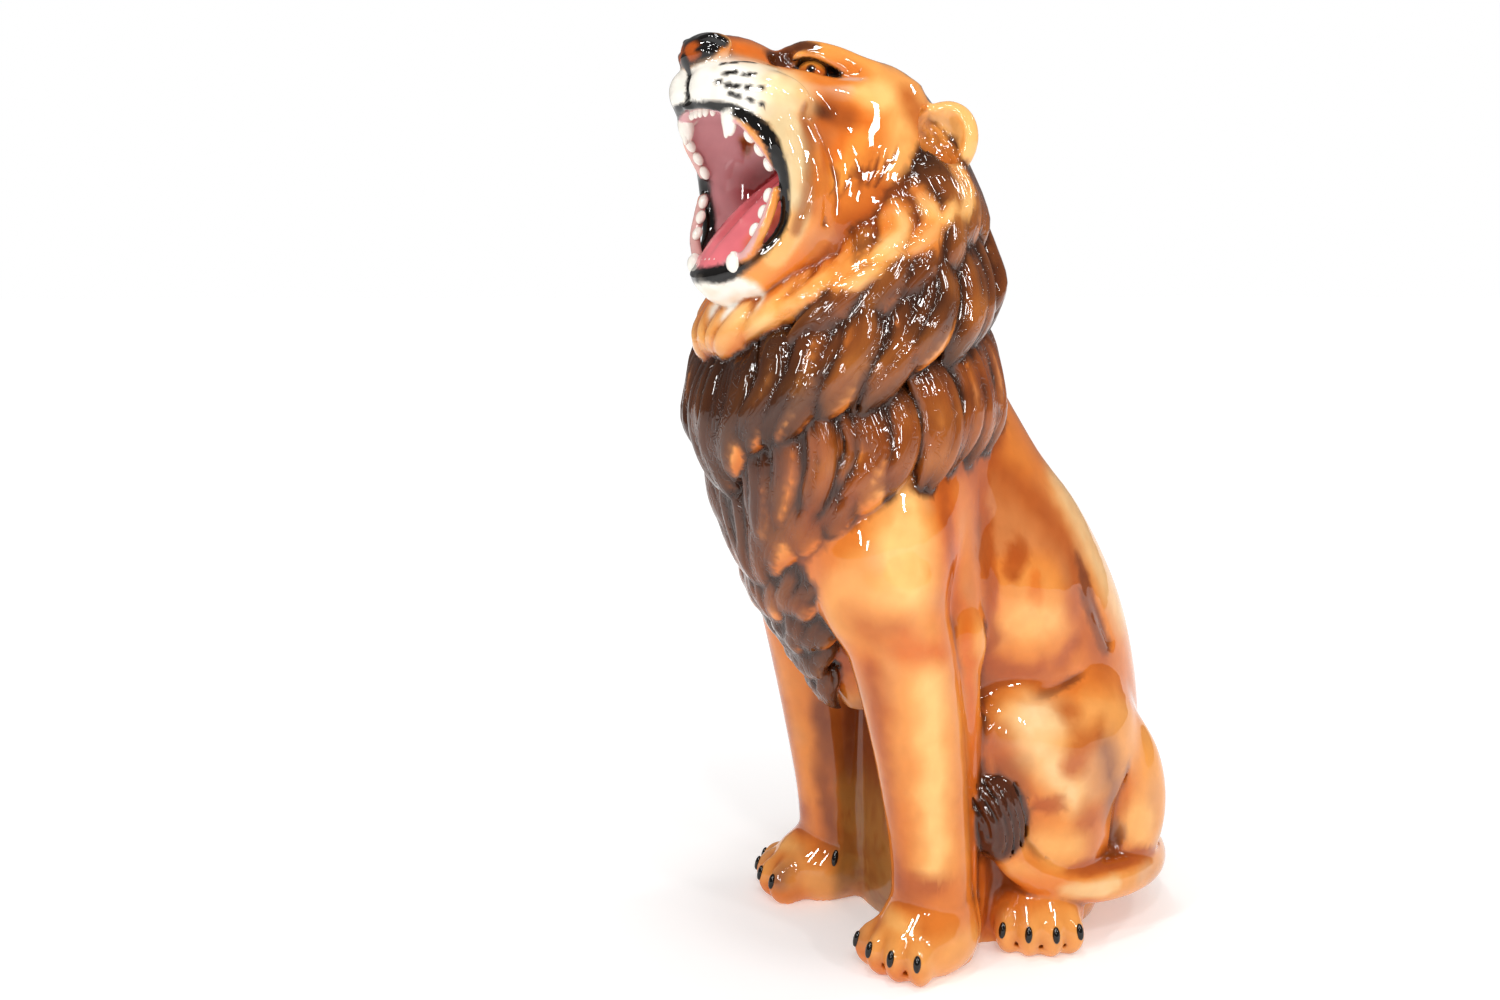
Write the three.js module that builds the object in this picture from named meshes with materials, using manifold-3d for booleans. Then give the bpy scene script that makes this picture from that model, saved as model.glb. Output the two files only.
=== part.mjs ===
// Seated roaring lion, slip-cast and glazed: one hollow casting, modelled as one solid body.
// Millimetres, +Z up. The lion looks along -Y and its left side is +X; it rests on z = 0.
// The body is worked out as clay is: rounded masses and rods are pressed together with a soft
// blend, the mouth and ears are scooped out, rows of locks are laid round the neck, and the
// skin of the result is turned into a closed faceted surface.
import * as THREE from "three";
import Module from "manifold-3d";

const wasm = await Module();
wasm.setup();

// Driving dimensions
const BLOCK_LOW = [-186, -306, -60];
const BLOCK_HIGH = [186, 282, 876];
const CELL = 6;
const FACETS = 9500;
const FACE_WEIGHT = 4;
const PAW_WEIGHT = 3.5;
const MANE_WEIGHT = 2;
const FORWARD = 16;
const SIDEWAYS = 4;
const HEAD_TURN = 7.6;
const HEAD_PIVOT = -98;
const HEAD_SHIFT = -2;
const TOE_FAN = [-31, -10.5, 10.5, 31];
const TOE_SIZE = [14.5, 26, 24];
const TOE_HEIGHT = 21;

const ONE = [1];
const BOTH = [1, -1];
const LEFT = [1];
const RIGHT = [-1];

// Rotation matrix for turns about X, then Y, then Z, in degrees.
function turn([ax, ay, az]) {
  const e = new THREE.Euler(
    THREE.MathUtils.degToRad(ax), THREE.MathUtils.degToRad(ay), THREE.MathUtils.degToRad(az), "ZYX",
  );
  const m = new THREE.Matrix4().makeRotationFromEuler(e).elements;
  return [[m[0], m[4], m[8]], [m[1], m[5], m[9]], [m[2], m[6], m[10]]];
}

// Every form is { d, low, high }: a distance to its skin in mm, and the box it lies in.
// An egg: centre, radii, turn. With a power above 2 its sides are fuller.
function egg(centre, radii, tilt = [0, 0, 0], power = 2) {
  const m = turn(tilt);
  const [a, b, c] = radii;
  const least = Math.min(a, b, c);
  const reach = power > 2
    ? m.map((r) => Math.abs(r[0]) * a + Math.abs(r[1]) * b + Math.abs(r[2]) * c)
    : m.map((r) => Math.hypot(r[0] * a, r[1] * b, r[2] * c));
  const d = (x, y, z) => {
    const dx = x - centre[0];
    const dy = y - centre[1];
    const dz = z - centre[2];
    const u = m[0][0] * dx + m[1][0] * dy + m[2][0] * dz;
    const v = m[0][1] * dx + m[1][1] * dy + m[2][1] * dz;
    const w = m[0][2] * dx + m[1][2] * dy + m[2][2] * dz;
    if (power > 2) {
      const q = Math.abs(u / a) ** power + Math.abs(v / b) ** power + Math.abs(w / c) ** power;
      return (q ** (1 / power) - 1) * least;
    }
    const k = Math.hypot(u / a, v / b, w / c);
    const g = Math.hypot(u / (a * a), v / (b * b), w / (c * c));
    return (k * (k - 1)) / (g + 1e-9);
  };
  return {
    d,
    low: centre.map((p, i) => p - reach[i]),
    high: centre.map((p, i) => p + reach[i]),
  };
}

// A smooth line through rows of numbers, with n steps between rows.
function smooth(rows, n) {
  const out = [];
  const last = rows.length - 1;
  const at = (i) => {
    if (i < 0) return rows[0].map((v, j) => 2 * v - rows[1][j]);
    if (i > last) return rows[last].map((v, j) => 2 * v - rows[last - 1][j]);
    return rows[i];
  };
  for (let i = 0; i < last; i++) {
    const [p, q, r, s] = [at(i - 1), at(i), at(i + 1), at(i + 2)];
    for (let k = 0; k < n; k++) {
      const t = k / n;
      out.push(q.map((v, j) => 0.5 * (2 * v + (r[j] - p[j]) * t
        + (2 * p[j] - 5 * v + 4 * r[j] - s[j]) * t * t
        + (3 * v - p[j] - 3 * r[j] + s[j]) * t * t * t)));
    }
  }
  out.push(rows[last]);
  return out;
}

// A rod through rows of x, y, z, radius. It can be flattened along one direction.
function limb(rows, n = 4, flat = 1, along = [1, 0, 0], scale = 1) {
  const line = rows.length > 2 ? smooth(rows, n) : rows;
  const length = Math.hypot(...along);
  const [fx, fy, fz] = along.map((v) => v / length);
  const parts = line.slice(1).map((b, i) => {
    const a = line[i];
    let e = [b[0] - a[0], b[1] - a[1], b[2] - a[2]];
    const s = (e[0] * fx + e[1] * fy + e[2] * fz) * (flat - 1);
    e = [e[0] + s * fx, e[1] + s * fy, e[2] + s * fz];
    return { a, e, l: e[0] ** 2 + e[1] ** 2 + e[2] ** 2 + 1e-9, dr: b[3] - a[3] };
  });
  const d = (x, y, z) => {
    let best = 1e9;
    for (const { a, e, l, dr } of parts) {
      let dx = x - a[0];
      let dy = y - a[1];
      let dz = z - a[2];
      const s = (dx * fx + dy * fy + dz * fz) * (flat - 1);
      dx += s * fx;
      dy += s * fy;
      dz += s * fz;
      const t = Math.min(1, Math.max(0, (dx * e[0] + dy * e[1] + dz * e[2]) / l));
      const r = Math.sqrt((dx - t * e[0]) ** 2 + (dy - t * e[1]) ** 2 + (dz - t * e[2]) ** 2);
      best = Math.min(best, r - a[3] - t * dr);
    }
    return best * scale;
  };
  const axes = [0, 1, 2];
  return {
    d,
    low: axes.map((i) => Math.min(...line.map((p) => p[i] - p[3]))),
    high: axes.map((i) => Math.max(...line.map((p) => p[i] + p[3]))),
  };
}

// Value of a table of [key, a, b, ...] rows at a height.
function between(rows, v) {
  let i = 1;
  while (i < rows.length - 1 && rows[i][0] < v) i += 1;
  const [a, b] = [rows[i - 1], rows[i]];
  const t = Math.min(1, Math.max(0, (v - a[0]) / (b[0] - a[0])));
  return a.slice(1).map((p, j) => p + (b[j + 1] - p) * t);
}

// An upright body of oval section through rows of height, front, back, half width.
function column(rows, n = 6, power = 2) {
  const line = smooth(rows, n);
  const low = line[0][0];
  const high = line[line.length - 1][0];
  const table = [];
  for (let z = low; z <= high + 1; z += 1) table.push(between(line, z));
  const d = (x, y, z) => {
    const k = Math.min(table.length - 2, Math.max(0, z - low));
    const i = Math.floor(k);
    const t = Math.min(1, k - i);
    const [front, back, w] = table[i].map((v, j) => v + (table[i + 1][j] - v) * t);
    const half = (back - front) / 2;
    const q = Math.abs(x / w) ** power + Math.abs((y - (front + back) / 2) / half) ** power;
    return Math.max((q ** (1 / power) - 1) * Math.min(w, half), low - z, z - high);
  };
  const w = Math.max(...line.map((r) => r[3]));
  return {
    d,
    low: [-w, Math.min(...line.map((r) => r[1])), low],
    high: [w, Math.max(...line.map((r) => r[2])), high],
  };
}

// The same form turned with the head about an upright line.
function withHead(form) {
  const a = THREE.MathUtils.degToRad(HEAD_TURN);
  const [c, s] = [Math.cos(a), Math.sin(a)];
  const corners = [form.low[0], form.high[0]].flatMap((x) => [form.low[1], form.high[1]].map(
    (y) => [c * x - s * (y - HEAD_PIVOT) + HEAD_SHIFT, s * x + c * (y - HEAD_PIVOT) + HEAD_PIVOT],
  ));
  return {
    d: (x, y, z) => {
      const dx = x - HEAD_SHIFT;
      const dy = y - HEAD_PIVOT;
      return form.d(c * dx + s * dy, c * dy - s * dx + HEAD_PIVOT, z);
    },
    low: [Math.min(...corners.map((p) => p[0])), Math.min(...corners.map((p) => p[1])), form.low[2]],
    high: [Math.max(...corners.map((p) => p[0])), Math.max(...corners.map((p) => p[1])), form.high[2]],
  };
}

// The same form on the other side.
function mirrored(form) {
  return {
    d: (x, y, z) => form.d(-x, y, z),
    low: [-form.high[0], form.low[1], form.low[2]],
    high: [-form.low[0], form.high[1], form.high[2]],
  };
}

// The block of clay: a grid of distances to the skin.
const size = BLOCK_LOW.map((v, i) => Math.ceil((BLOCK_HIGH[i] - v) / CELL) + 1);
const field = new Float32Array(size[0] * size[1] * size[2]).fill(60);
const cellAt = (i, j, k) => (k * size[1] + j) * size[0] + i;

// Joins (or scoops out) a form, with a blend radius in mm.
function put(form, blend, sides = ONE, scoop = false) {
  for (const side of sides) {
    const f = side < 0 ? mirrored(form) : form;
    const pad = blend + 3 * CELL;
    const from = f.low.map((v, i) => Math.max(0, Math.floor((v - pad - BLOCK_LOW[i]) / CELL)));
    const to = f.high.map(
      (v, i) => Math.min(size[i] - 1, Math.ceil((v + pad - BLOCK_LOW[i]) / CELL)),
    );
    for (let k = from[2]; k <= to[2]; k++)
      for (let j = from[1]; j <= to[1]; j++)
        for (let i = from[0]; i <= to[0]; i++) {
          const n = cellAt(i, j, k);
          const d = f.d(
            BLOCK_LOW[0] + i * CELL, BLOCK_LOW[1] + j * CELL, BLOCK_LOW[2] + k * CELL,
          );
          const a = scoop ? -field[n] : field[n];
          const h = blend > 0 ? Math.max(blend - Math.abs(a - d), 0) : 0;
          const m = Math.min(a, d) - (blend > 0 ? (h * h) / (4 * blend) : 0);
          field[n] = scoop ? -m : m;
        }
  }
}

// Upright sections of the trunk: height, front, back, half width.
const TRUNK = [
  [-12, -46, 174, 92], [60, -50, 210, 103], [120, -52, 226, 110], [200, -56, 226, 111],
  [270, -80, 217, 108], [340, -120, 195, 104], [420, -150, 148, 98], [480, -170, 96, 92],
  [560, -170, 40, 80],
];
// Upright sections of the neck under the mane.
const NECK = [
  [230, -104, -50, 20], [300, -150, -30, 48], [350, -182, -12, 82], [400, -198, 2, 103],
  [460, -220, 14, 112], [520, -236, 18, 117], [580, -234, 14, 117], [640, -208, 6, 113],
  [700, -170, -14, 104], [760, -140, -36, 88], [810, -118, -62, 64],
];
// Rounded masses of the body: shape, blend, sides.
const BODY = [
  // chest
  [egg([0, -118, 425], [100, 92, 105], [-22, 0, 0]), 40, ONE],
  // low wall between the forelegs
  [egg([0, -24, 126], [99, 33, 154], [0, 0, 0], 4), 10, ONE],
  // ribs and belly
  [egg([62, 20, 345], [46, 74, 60], [-30, 0, 0]), 30, BOTH],
  // haunch, knee, buttock and the muscle between them
  [egg([86, 88, 180], [52, 92, 86], [16, 0, 6]), 16, BOTH],
  [egg([94, 26, 206], [38, 46, 54], [20, 0, 0]), 16, BOTH],
  [egg([76, 156, 128], [46, 58, 96], [4, 0, -16]), 10, BOTH],
  [egg([96, 74, 106], [38, 60, 62], [0, 0, 4]), 16, BOTH],
  // shoulder and upper arm
  [egg([84, -112, 398], [50, 70, 92], [-14, 0, 0]), 26, BOTH],
  // foreleg, wrist
  [limb([[86, -112, 360, 52], [94, -94, 280, 47], [97, -80, 200, 42], [96, -69, 120, 38],
    [95, -64, 60, 38]]), 16, BOTH],
  // wall behind the foreleg, and the elbow on it
  [limb([[84, -54, 446, 22], [94, -52, 380, 28], [100, -50, 316, 29], [100, -49, 230, 28],
    [98, -49, 120, 27], [96, -49, -12, 27]], 4, 1.5, [1, 0, 0]), 9, BOTH],
  [egg([106, -40, 314], [15, 19, 26], [12, 0, 0]), 12, BOTH],
];
// The tail lies round the left side; its tuft stands against the thigh.
const TAIL = [
  [-24, 222, 54, 20], [30, 234, 50, 22], [78, 202, 54, 22], [106, 158, 57, 22],
  [116, 106, 60, 22], [116, 56, 72, 21], [112, 22, 92, 19], [108, 4, 116, 17],
];
const TUFT = egg([108, -2, 140], [26, 28, 43], [8, 0, 0]);
// Paws: place, size, aim of the foot; heel, aim and reach of the toes; sides.
const PAWS = [
  [[96, -70, 32], [46, 52, 41], 14, [88, -62], 18, 48, LEFT],
  [[102, -78, 32], [46, 52, 41], 14, [100, -72], 20, 50, RIGHT],
  [[92, 58, 32], [50, 46, 41], -28, [78, 64], 62, 47, BOTH],
];
// Creases cut into the body: behind the foreleg's wall, over the haunch, in the flank, the thigh.
const CREASES = [
  [limb([[98, -24, 452, 3], [108, -17, 390, 5], [114, -13, 330, 6], [118, -17, 270, 6],
    [121, -17, 210, 5]]), 4, BOTH],
  [limb([[120, -8, 262, 5], [120, 24, 254, 6], [115, 58, 258, 6], [111, 88, 266, 4], [114, 112, 276, 1]]), 7,
    BOTH],
  [limb([[99, 100, 380, 3], [97, 122, 330, 6], [92, 140, 290, 4]]), 7, BOTH],
  [limb([[117, 138, 170, 3], [122, 134, 130, 6], [112, 136, 92, 6]]), 7, BOTH],
];
// Head, straight ahead before it is turned: shape, blend, sides.
const HEAD = [
  // skull, cheek, temple, forehead
  [egg([0, -104, 765], [82, 88, 72]), 20, ONE],
  [egg([56, -140, 736], [36, 58, 76], [0, 0, -14]), 20, BOTH],
  [egg([52, -128, 792], [33, 50, 42], [0, 0, -20]), 16, BOTH],
  [egg([0, -130, 803], [50, 62, 41], [-6, 0, 0]), 14, ONE],
  // brow over the eye, and the cheekbone under it
  [limb([[18, -186, 838, 9], [32, -178, 838, 12], [50, -160, 832, 12], [66, -134, 819, 12]]), 8, BOTH],
  [limb([[32, -204, 812, 9], [48, -188, 808, 11], [64, -160, 800, 12], [72, -128, 792, 12]]), 10, BOTH],
  // bridge and sides of the snout
  [limb([[0, -140, 810, 34], [0, -190, 812, 29], [0, -228, 824, 28], [0, -256, 828, 25]]), 12, ONE],
  [limb([[40, -150, 780, 28], [36, -190, 794, 26], [28, -232, 804, 22]]), 12, BOTH],
  // whisker pad, its back end, nose
  [egg([29, -240, 800], [30, 48, 28], [-12, 0, -22]), 5, BOTH],
  [egg([54, -226, 796], [22, 30, 20], [-12, 0, -18]), 6, BOTH],
  [egg([15, -267, 804], [19, 18, 20]), 6, BOTH],
  [egg([0, -267, 836], [26, 19, 15], [16, 0, 0]), 8, ONE],
  // lower jaw
  [limb([[60, -146, 700, 36], [52, -192, 676, 28], [34, -226, 652, 24], [0, -242, 647, 24]]), 14, BOTH],
  // wall of the cheek, the fold beside it, and the lip in front
  [limb([[44, -232, 792, 18], [58, -214, 762, 22], [64, -202, 722, 24], [60, -202, 688, 24],
    [46, -220, 662, 18]], 3), 8, BOTH],
  [limb([[54, -194, 786, 11], [70, -178, 752, 11], [75, -172, 716, 11], [70, -176, 680, 11]]), 10, BOTH],
  [limb([[0, -277, 787, 7], [26, -269, 786, 7], [46, -250, 777, 7], [60, -230, 755, 8],
    [67, -218, 720, 9], [62, -218, 686, 9], [46, -236, 661, 9], [24, -256, 649, 9],
    [0, -263, 646, 9]], 3), 6, BOTH],
];
// The roaring mouth, cut out of the head.
const MOUTH = [0, -262, 719, 61, 88, 69];
// Inside the mouth, and the ears.
const FACE = [
  // tongue
  [limb([[0, -172, 722, 34], [0, -204, 694, 42], [0, -230, 670, 40], [0, -246, 656, 30]], 4, 1.9,
    [0, -0.7, 0.7]), 5, ONE],
  // upper and lower canine
  [limb([[36, -256, 792, 9], [37, -262, 780, 7.5], [34, -264, 763, 2]]), 2, BOTH],
  [limb([[30, -243, 645, 8], [33, -251, 654, 6.5], [33, -256, 664, 3.5]]), 2, BOTH],
  // ear
  [egg([86, -70, 764], [32, 16, 37], [0, 26, 38]), 6, BOTH],
];
const EAR_CUP = [egg([95, -82, 766], [22, 14, 28], [0, 26, 38]), 4, BOTH];
// How locks lean, against the angle from the front: forwards near the throat, back at the sides.
const LEAN = [[0, 0], [16, -10], [45, -13], [75, -3], [105, 5], [180, 2]];
// Rows of locks, lowest first: locks on each side, first and last angle, half width, thickness,
// lift, curl, then the heights of the roots and of the tips against the angle from the front.
const LOCKS = [
  [2, 4, 30, 9, 9, 10, 4, [[0, 282], [30, 286]], [[0, 238], [30, 244]]],
  [4, 0, 44, 10, 10, 9, 6, [[0, 316], [44, 322]], [[0, 262], [44, 276]]],
  [5, 0, 50, 12, 12, 8, 6, [[0, 352], [50, 366]], [[0, 288], [50, 308]]],
  [5, 0, 54, 15, 14, 6, 6, [[0, 400], [50, 414]], [[0, 316], [50, 340]]],
  [6, 0, 64, 18, 17, 8, 6, [[0, 466], [60, 492]], [[0, 346], [20, 356], [40, 382], [64, 420]]],
  [12, 20, 178, 20, 19, 7, 7, [[20, 500], [40, 530], [80, 560], [110, 600], [180, 620]],
    [[20, 380], [40, 410], [75, 450], [110, 478], [180, 488]]],
  [13, 0, 178, 21, 21, 10, 8, [[0, 570], [25, 590], [50, 622], [75, 655], [100, 694], [180, 740]],
    [[0, 446], [25, 466], [50, 500], [75, 536], [100, 572], [125, 600], [180, 616]]],
  [10, 50, 176, 21, 19, 8, 8, [[50, 690], [80, 730], [110, 772], [180, 806]],
    [[50, 566], [80, 606], [100, 644], [120, 668], [180, 700]]],
  [4, 108, 178, 20, 15, 0, 6, [[108, 796], [180, 824]], [[108, 730], [180, 752]]],
  [9, 0, 114, 19, 19, 9, 9, [[0, 632], [25, 646], [45, 668], [75, 712], [100, 748], [116, 768]],
    [[0, 570], [25, 578], [45, 598], [75, 640], [100, 676], [116, 694]]],
];

// A paw: the foot, then four toes in a fan about the heel.
function paw([at, radii, aim, heel, fan, reach, sides]) {
  put(egg(at, radii, [0, 0, aim]), 14, sides);
  for (const a of TOE_FAN) {
    const t = THREE.MathUtils.degToRad(a + fan);
    const toe = [heel[0] + Math.sin(t) * reach, heel[1] - Math.cos(t) * reach, TOE_HEIGHT];
    put(egg(toe, TOE_SIZE, [0, 0, a + fan]), 7, sides);
  }
}

// Point on the skin of the neck: degrees from the front, height, distance outwards.
function onNeck(angle, z, out) {
  const [front, back, w] = between(NECK, z);
  const a = THREE.MathUtils.degToRad(angle);
  const half = (back - front) / 2;
  return [
    (w + out) * Math.sin(a), (front + back) / 2 - (half + out) * Math.cos(a), z,
  ];
}

// An even but irregular number from -1 to 1 for lock i of a row.
function vary(i, j, row) {
  const v = Math.sin(i * 127.1 + j * 311.7 + row * 74.7) * 43758.5453;
  return 2 * (v - Math.floor(v)) - 1;
}

// Along a lock: place, part of its half width, distance outwards.
const LOCK_SHAPE = [
  [0, 0.45, -12], [0.2, 0.9, -2], [0.45, 1.05, 3], [0.68, 0.98, 7], [0.86, 0.66, 7], [1, 0.14, 2],
];

// One lock of a row, on the left side (1) or the right (-1). It leans, curls and tapers to its tip.
function lockOf(row, number, side) {
  const [count, first, last, width, thick, lift, curl, roots, tips] = LOCKS[row];
  const u = [0, 1, 2, 3, 4].map((j) => vary(number + (side < 0 ? 50 : 0), j, row));
  const angle = first + ((last - first) * (number + 0.5)) / count + u[1] * 2;
  const root = between(roots, angle)[0] + u[4] * 8;
  const tip = between(tips, angle)[0] + u[0] * 9;
  const lean = between(LEAN, angle)[0];
  const w = width * (1 + 0.16 * u[2]);
  const bend = curl * (1 + 0.3 * u[3]) * Math.min(1, angle / 30);
  const rows = LOCK_SHAPE.map(([t, part, out]) => {
    const a = angle + lean * t + bend * Math.sin(Math.PI * t * 1.15);
    return [...onNeck(side * a, root + (tip - root) * t, lift + out), w * part];
  });
  const middle = side * (angle + lean * 0.5 + bend * 0.8);
  const inner = onNeck(middle, (root + tip) / 2, 0);
  const outer = onNeck(middle, (root + tip) / 2, 10);
  return limb(rows, 4, w / thick, [outer[0] - inner[0], outer[1] - inner[1], 1], 0.75);
}
function locks() {
  LOCKS.forEach(([count], row) => {
    for (let i = 0; i < count; i++) for (const side of BOTH) put(lockOf(row, i, side), 2);
  });
}

put(column(TRUNK), 0);
for (const [form, blend, sides] of BODY) put(form, blend, sides);
for (const row of PAWS) paw(row);
for (const [form, blend, sides] of CREASES) put(form, blend, sides, true);
put(limb(TAIL), 6);
put(TUFT, 6);
put(column(NECK, 6, 2.25), 24);
function putHead(form, blend, sides, scoop = false) {
  for (const side of sides) put(withHead(side < 0 ? mirrored(form) : form), blend, ONE, scoop);
}
for (const [form, blend, sides] of HEAD) putHead(form, blend, sides);
putHead(egg(MOUTH.slice(0, 3), MOUTH.slice(3), [0, 0, 0], 2.6), 5, ONE, true);
for (const [form, blend, sides] of FACE) putHead(form, blend, sides);
putHead(EAR_CUP[0], EAR_CUP[1], EAR_CUP[2], true);
locks();

// Fills the pinholes where two masses touch only along an edge or at a corner of the grid.
function closePinholes() {
  const axes = [[1, 0, 0], [0, 1, 0], [0, 0, 1]];
  const faces = [[axes[0], axes[1]], [axes[1], axes[2]], [axes[2], axes[0]]];
  const fill = (cells) => {
    const open = cells.filter((c) => field[c] >= 0);
    const c = open.reduce((a, b) => (field[b] < field[a] ? b : a));
    field[c] = -0.1 * CELL;
  };
  let again = true;
  while (again) {
    again = false;
    for (let k = 0; k < size[2] - 1; k++)
      for (let j = 0; j < size[1] - 1; j++)
        for (let i = 0; i < size[0] - 1; i++) {
          for (const [u, v] of faces) {
            const q = [
              cellAt(i, j, k), cellAt(i + u[0], j + u[1], k + u[2]),
              cellAt(i + u[0] + v[0], j + u[1] + v[1], k + u[2] + v[2]),
              cellAt(i + v[0], j + v[1], k + v[2]),
            ];
            const [a, b, c, d] = q.map((n) => field[n] < 0);
            if (a === c && b === d && a !== b) {
              fill(q);
              again = true;
            }
          }
          for (const [a, b, c] of [[0, 0, 0], [1, 0, 0], [0, 1, 0], [0, 0, 1]]) {
            const p = cellAt(i + a, j + b, k + c);
            const q = cellAt(i + 1 - a, j + 1 - b, k + 1 - c);
            if (field[p] < 0 !== field[q] < 0) continue;
            const rest = [];
            for (let m = 0; m < 8; m++) {
              const n = cellAt(i + (m & 1), j + ((m >> 1) & 1), k + (m >> 2));
              if (n !== p && n !== q) rest.push(n);
            }
            if (rest.every((n) => field[n] < 0 !== field[p] < 0)) {
              fill(field[p] < 0 ? rest : [p, q]);
              again = true;
            }
          }
        }
  }
}

// The largest closed surface of several.
function outer({ points, faces }) {
  const parent = points.map((_, i) => i);
  const find = (v) => {
    while (parent[v] !== v) {
      parent[v] = parent[parent[v]];
      v = parent[v];
    }
    return v;
  };
  for (const [a, b, c] of faces) {
    parent[find(b)] = find(a);
    parent[find(c)] = find(a);
  }
  const count = new Map();
  for (const f of faces) count.set(find(f[0]), (count.get(find(f[0])) ?? 0) + 1);
  const main = [...count].reduce((a, b) => (b[1] > a[1] ? b : a))[0];
  return { points, faces: faces.filter((f) => find(f[0]) === main) };
}

// The skin of the clay: one point in every cell that the skin crosses, joined across the
// grid's edges.
function skin() {
  const index = new Int32Array(field.length).fill(-1);
  const points = [];
  const corner = [0, 1].flatMap((k) => [0, 1].flatMap((j) => [0, 1].map((i) => [i, j, k])));
  const edges = [];
  corner.forEach((p, a) => corner.forEach((q, b) => {
    if (a < b && Math.abs(p[0] - q[0]) + Math.abs(p[1] - q[1]) + Math.abs(p[2] - q[2]) === 1)
      edges.push([a, b]);
  }));
  for (let k = 0; k < size[2] - 1; k++)
    for (let j = 0; j < size[1] - 1; j++)
      for (let i = 0; i < size[0] - 1; i++) {
        const v = corner.map(([a, b, c]) => field[cellAt(i + a, j + b, k + c)]);
        const inside = v.filter((d) => d < 0).length;
        if (inside === 0 || inside === 8) continue;
        const sum = [0, 0, 0];
        let n = 0;
        for (const [a, b] of edges) {
          if (v[a] < 0 === v[b] < 0) continue;
          const t = v[a] / (v[a] - v[b]);
          for (let m = 0; m < 3; m++) sum[m] += corner[a][m] + (corner[b][m] - corner[a][m]) * t;
          n += 1;
        }
        index[cellAt(i, j, k)] = points.length;
        points.push([i, j, k].map((c, m) => BLOCK_LOW[m] + (c + sum[m] / n) * CELL));
      }
  const faces = [];
  const step = [[1, 0, 0], [0, 1, 0], [0, 0, 1]];
  for (let k = 1; k < size[2] - 1; k++)
    for (let j = 1; j < size[1] - 1; j++)
      for (let i = 1; i < size[0] - 1; i++)
        for (let m = 0; m < 3; m++) {
          const here = field[cellAt(i, j, k)] < 0;
          const next = field[cellAt(i + step[m][0], j + step[m][1], k + step[m][2])] < 0;
          if (here === next) continue;
          const u = step[(m + 1) % 3];
          const w = step[(m + 2) % 3];
          const q = [[0, 0], [1, 0], [1, 1], [0, 1]].map(([a, b]) => index[cellAt(
            i - a * u[0] - b * w[0], j - a * u[1] - b * w[1], k - a * u[2] - b * w[2],
          )]);
          if (!here) q.reverse();
          faces.push([q[0], q[1], q[2]], [q[0], q[2], q[3]]);
        }
  return { points, faces };
}

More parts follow.
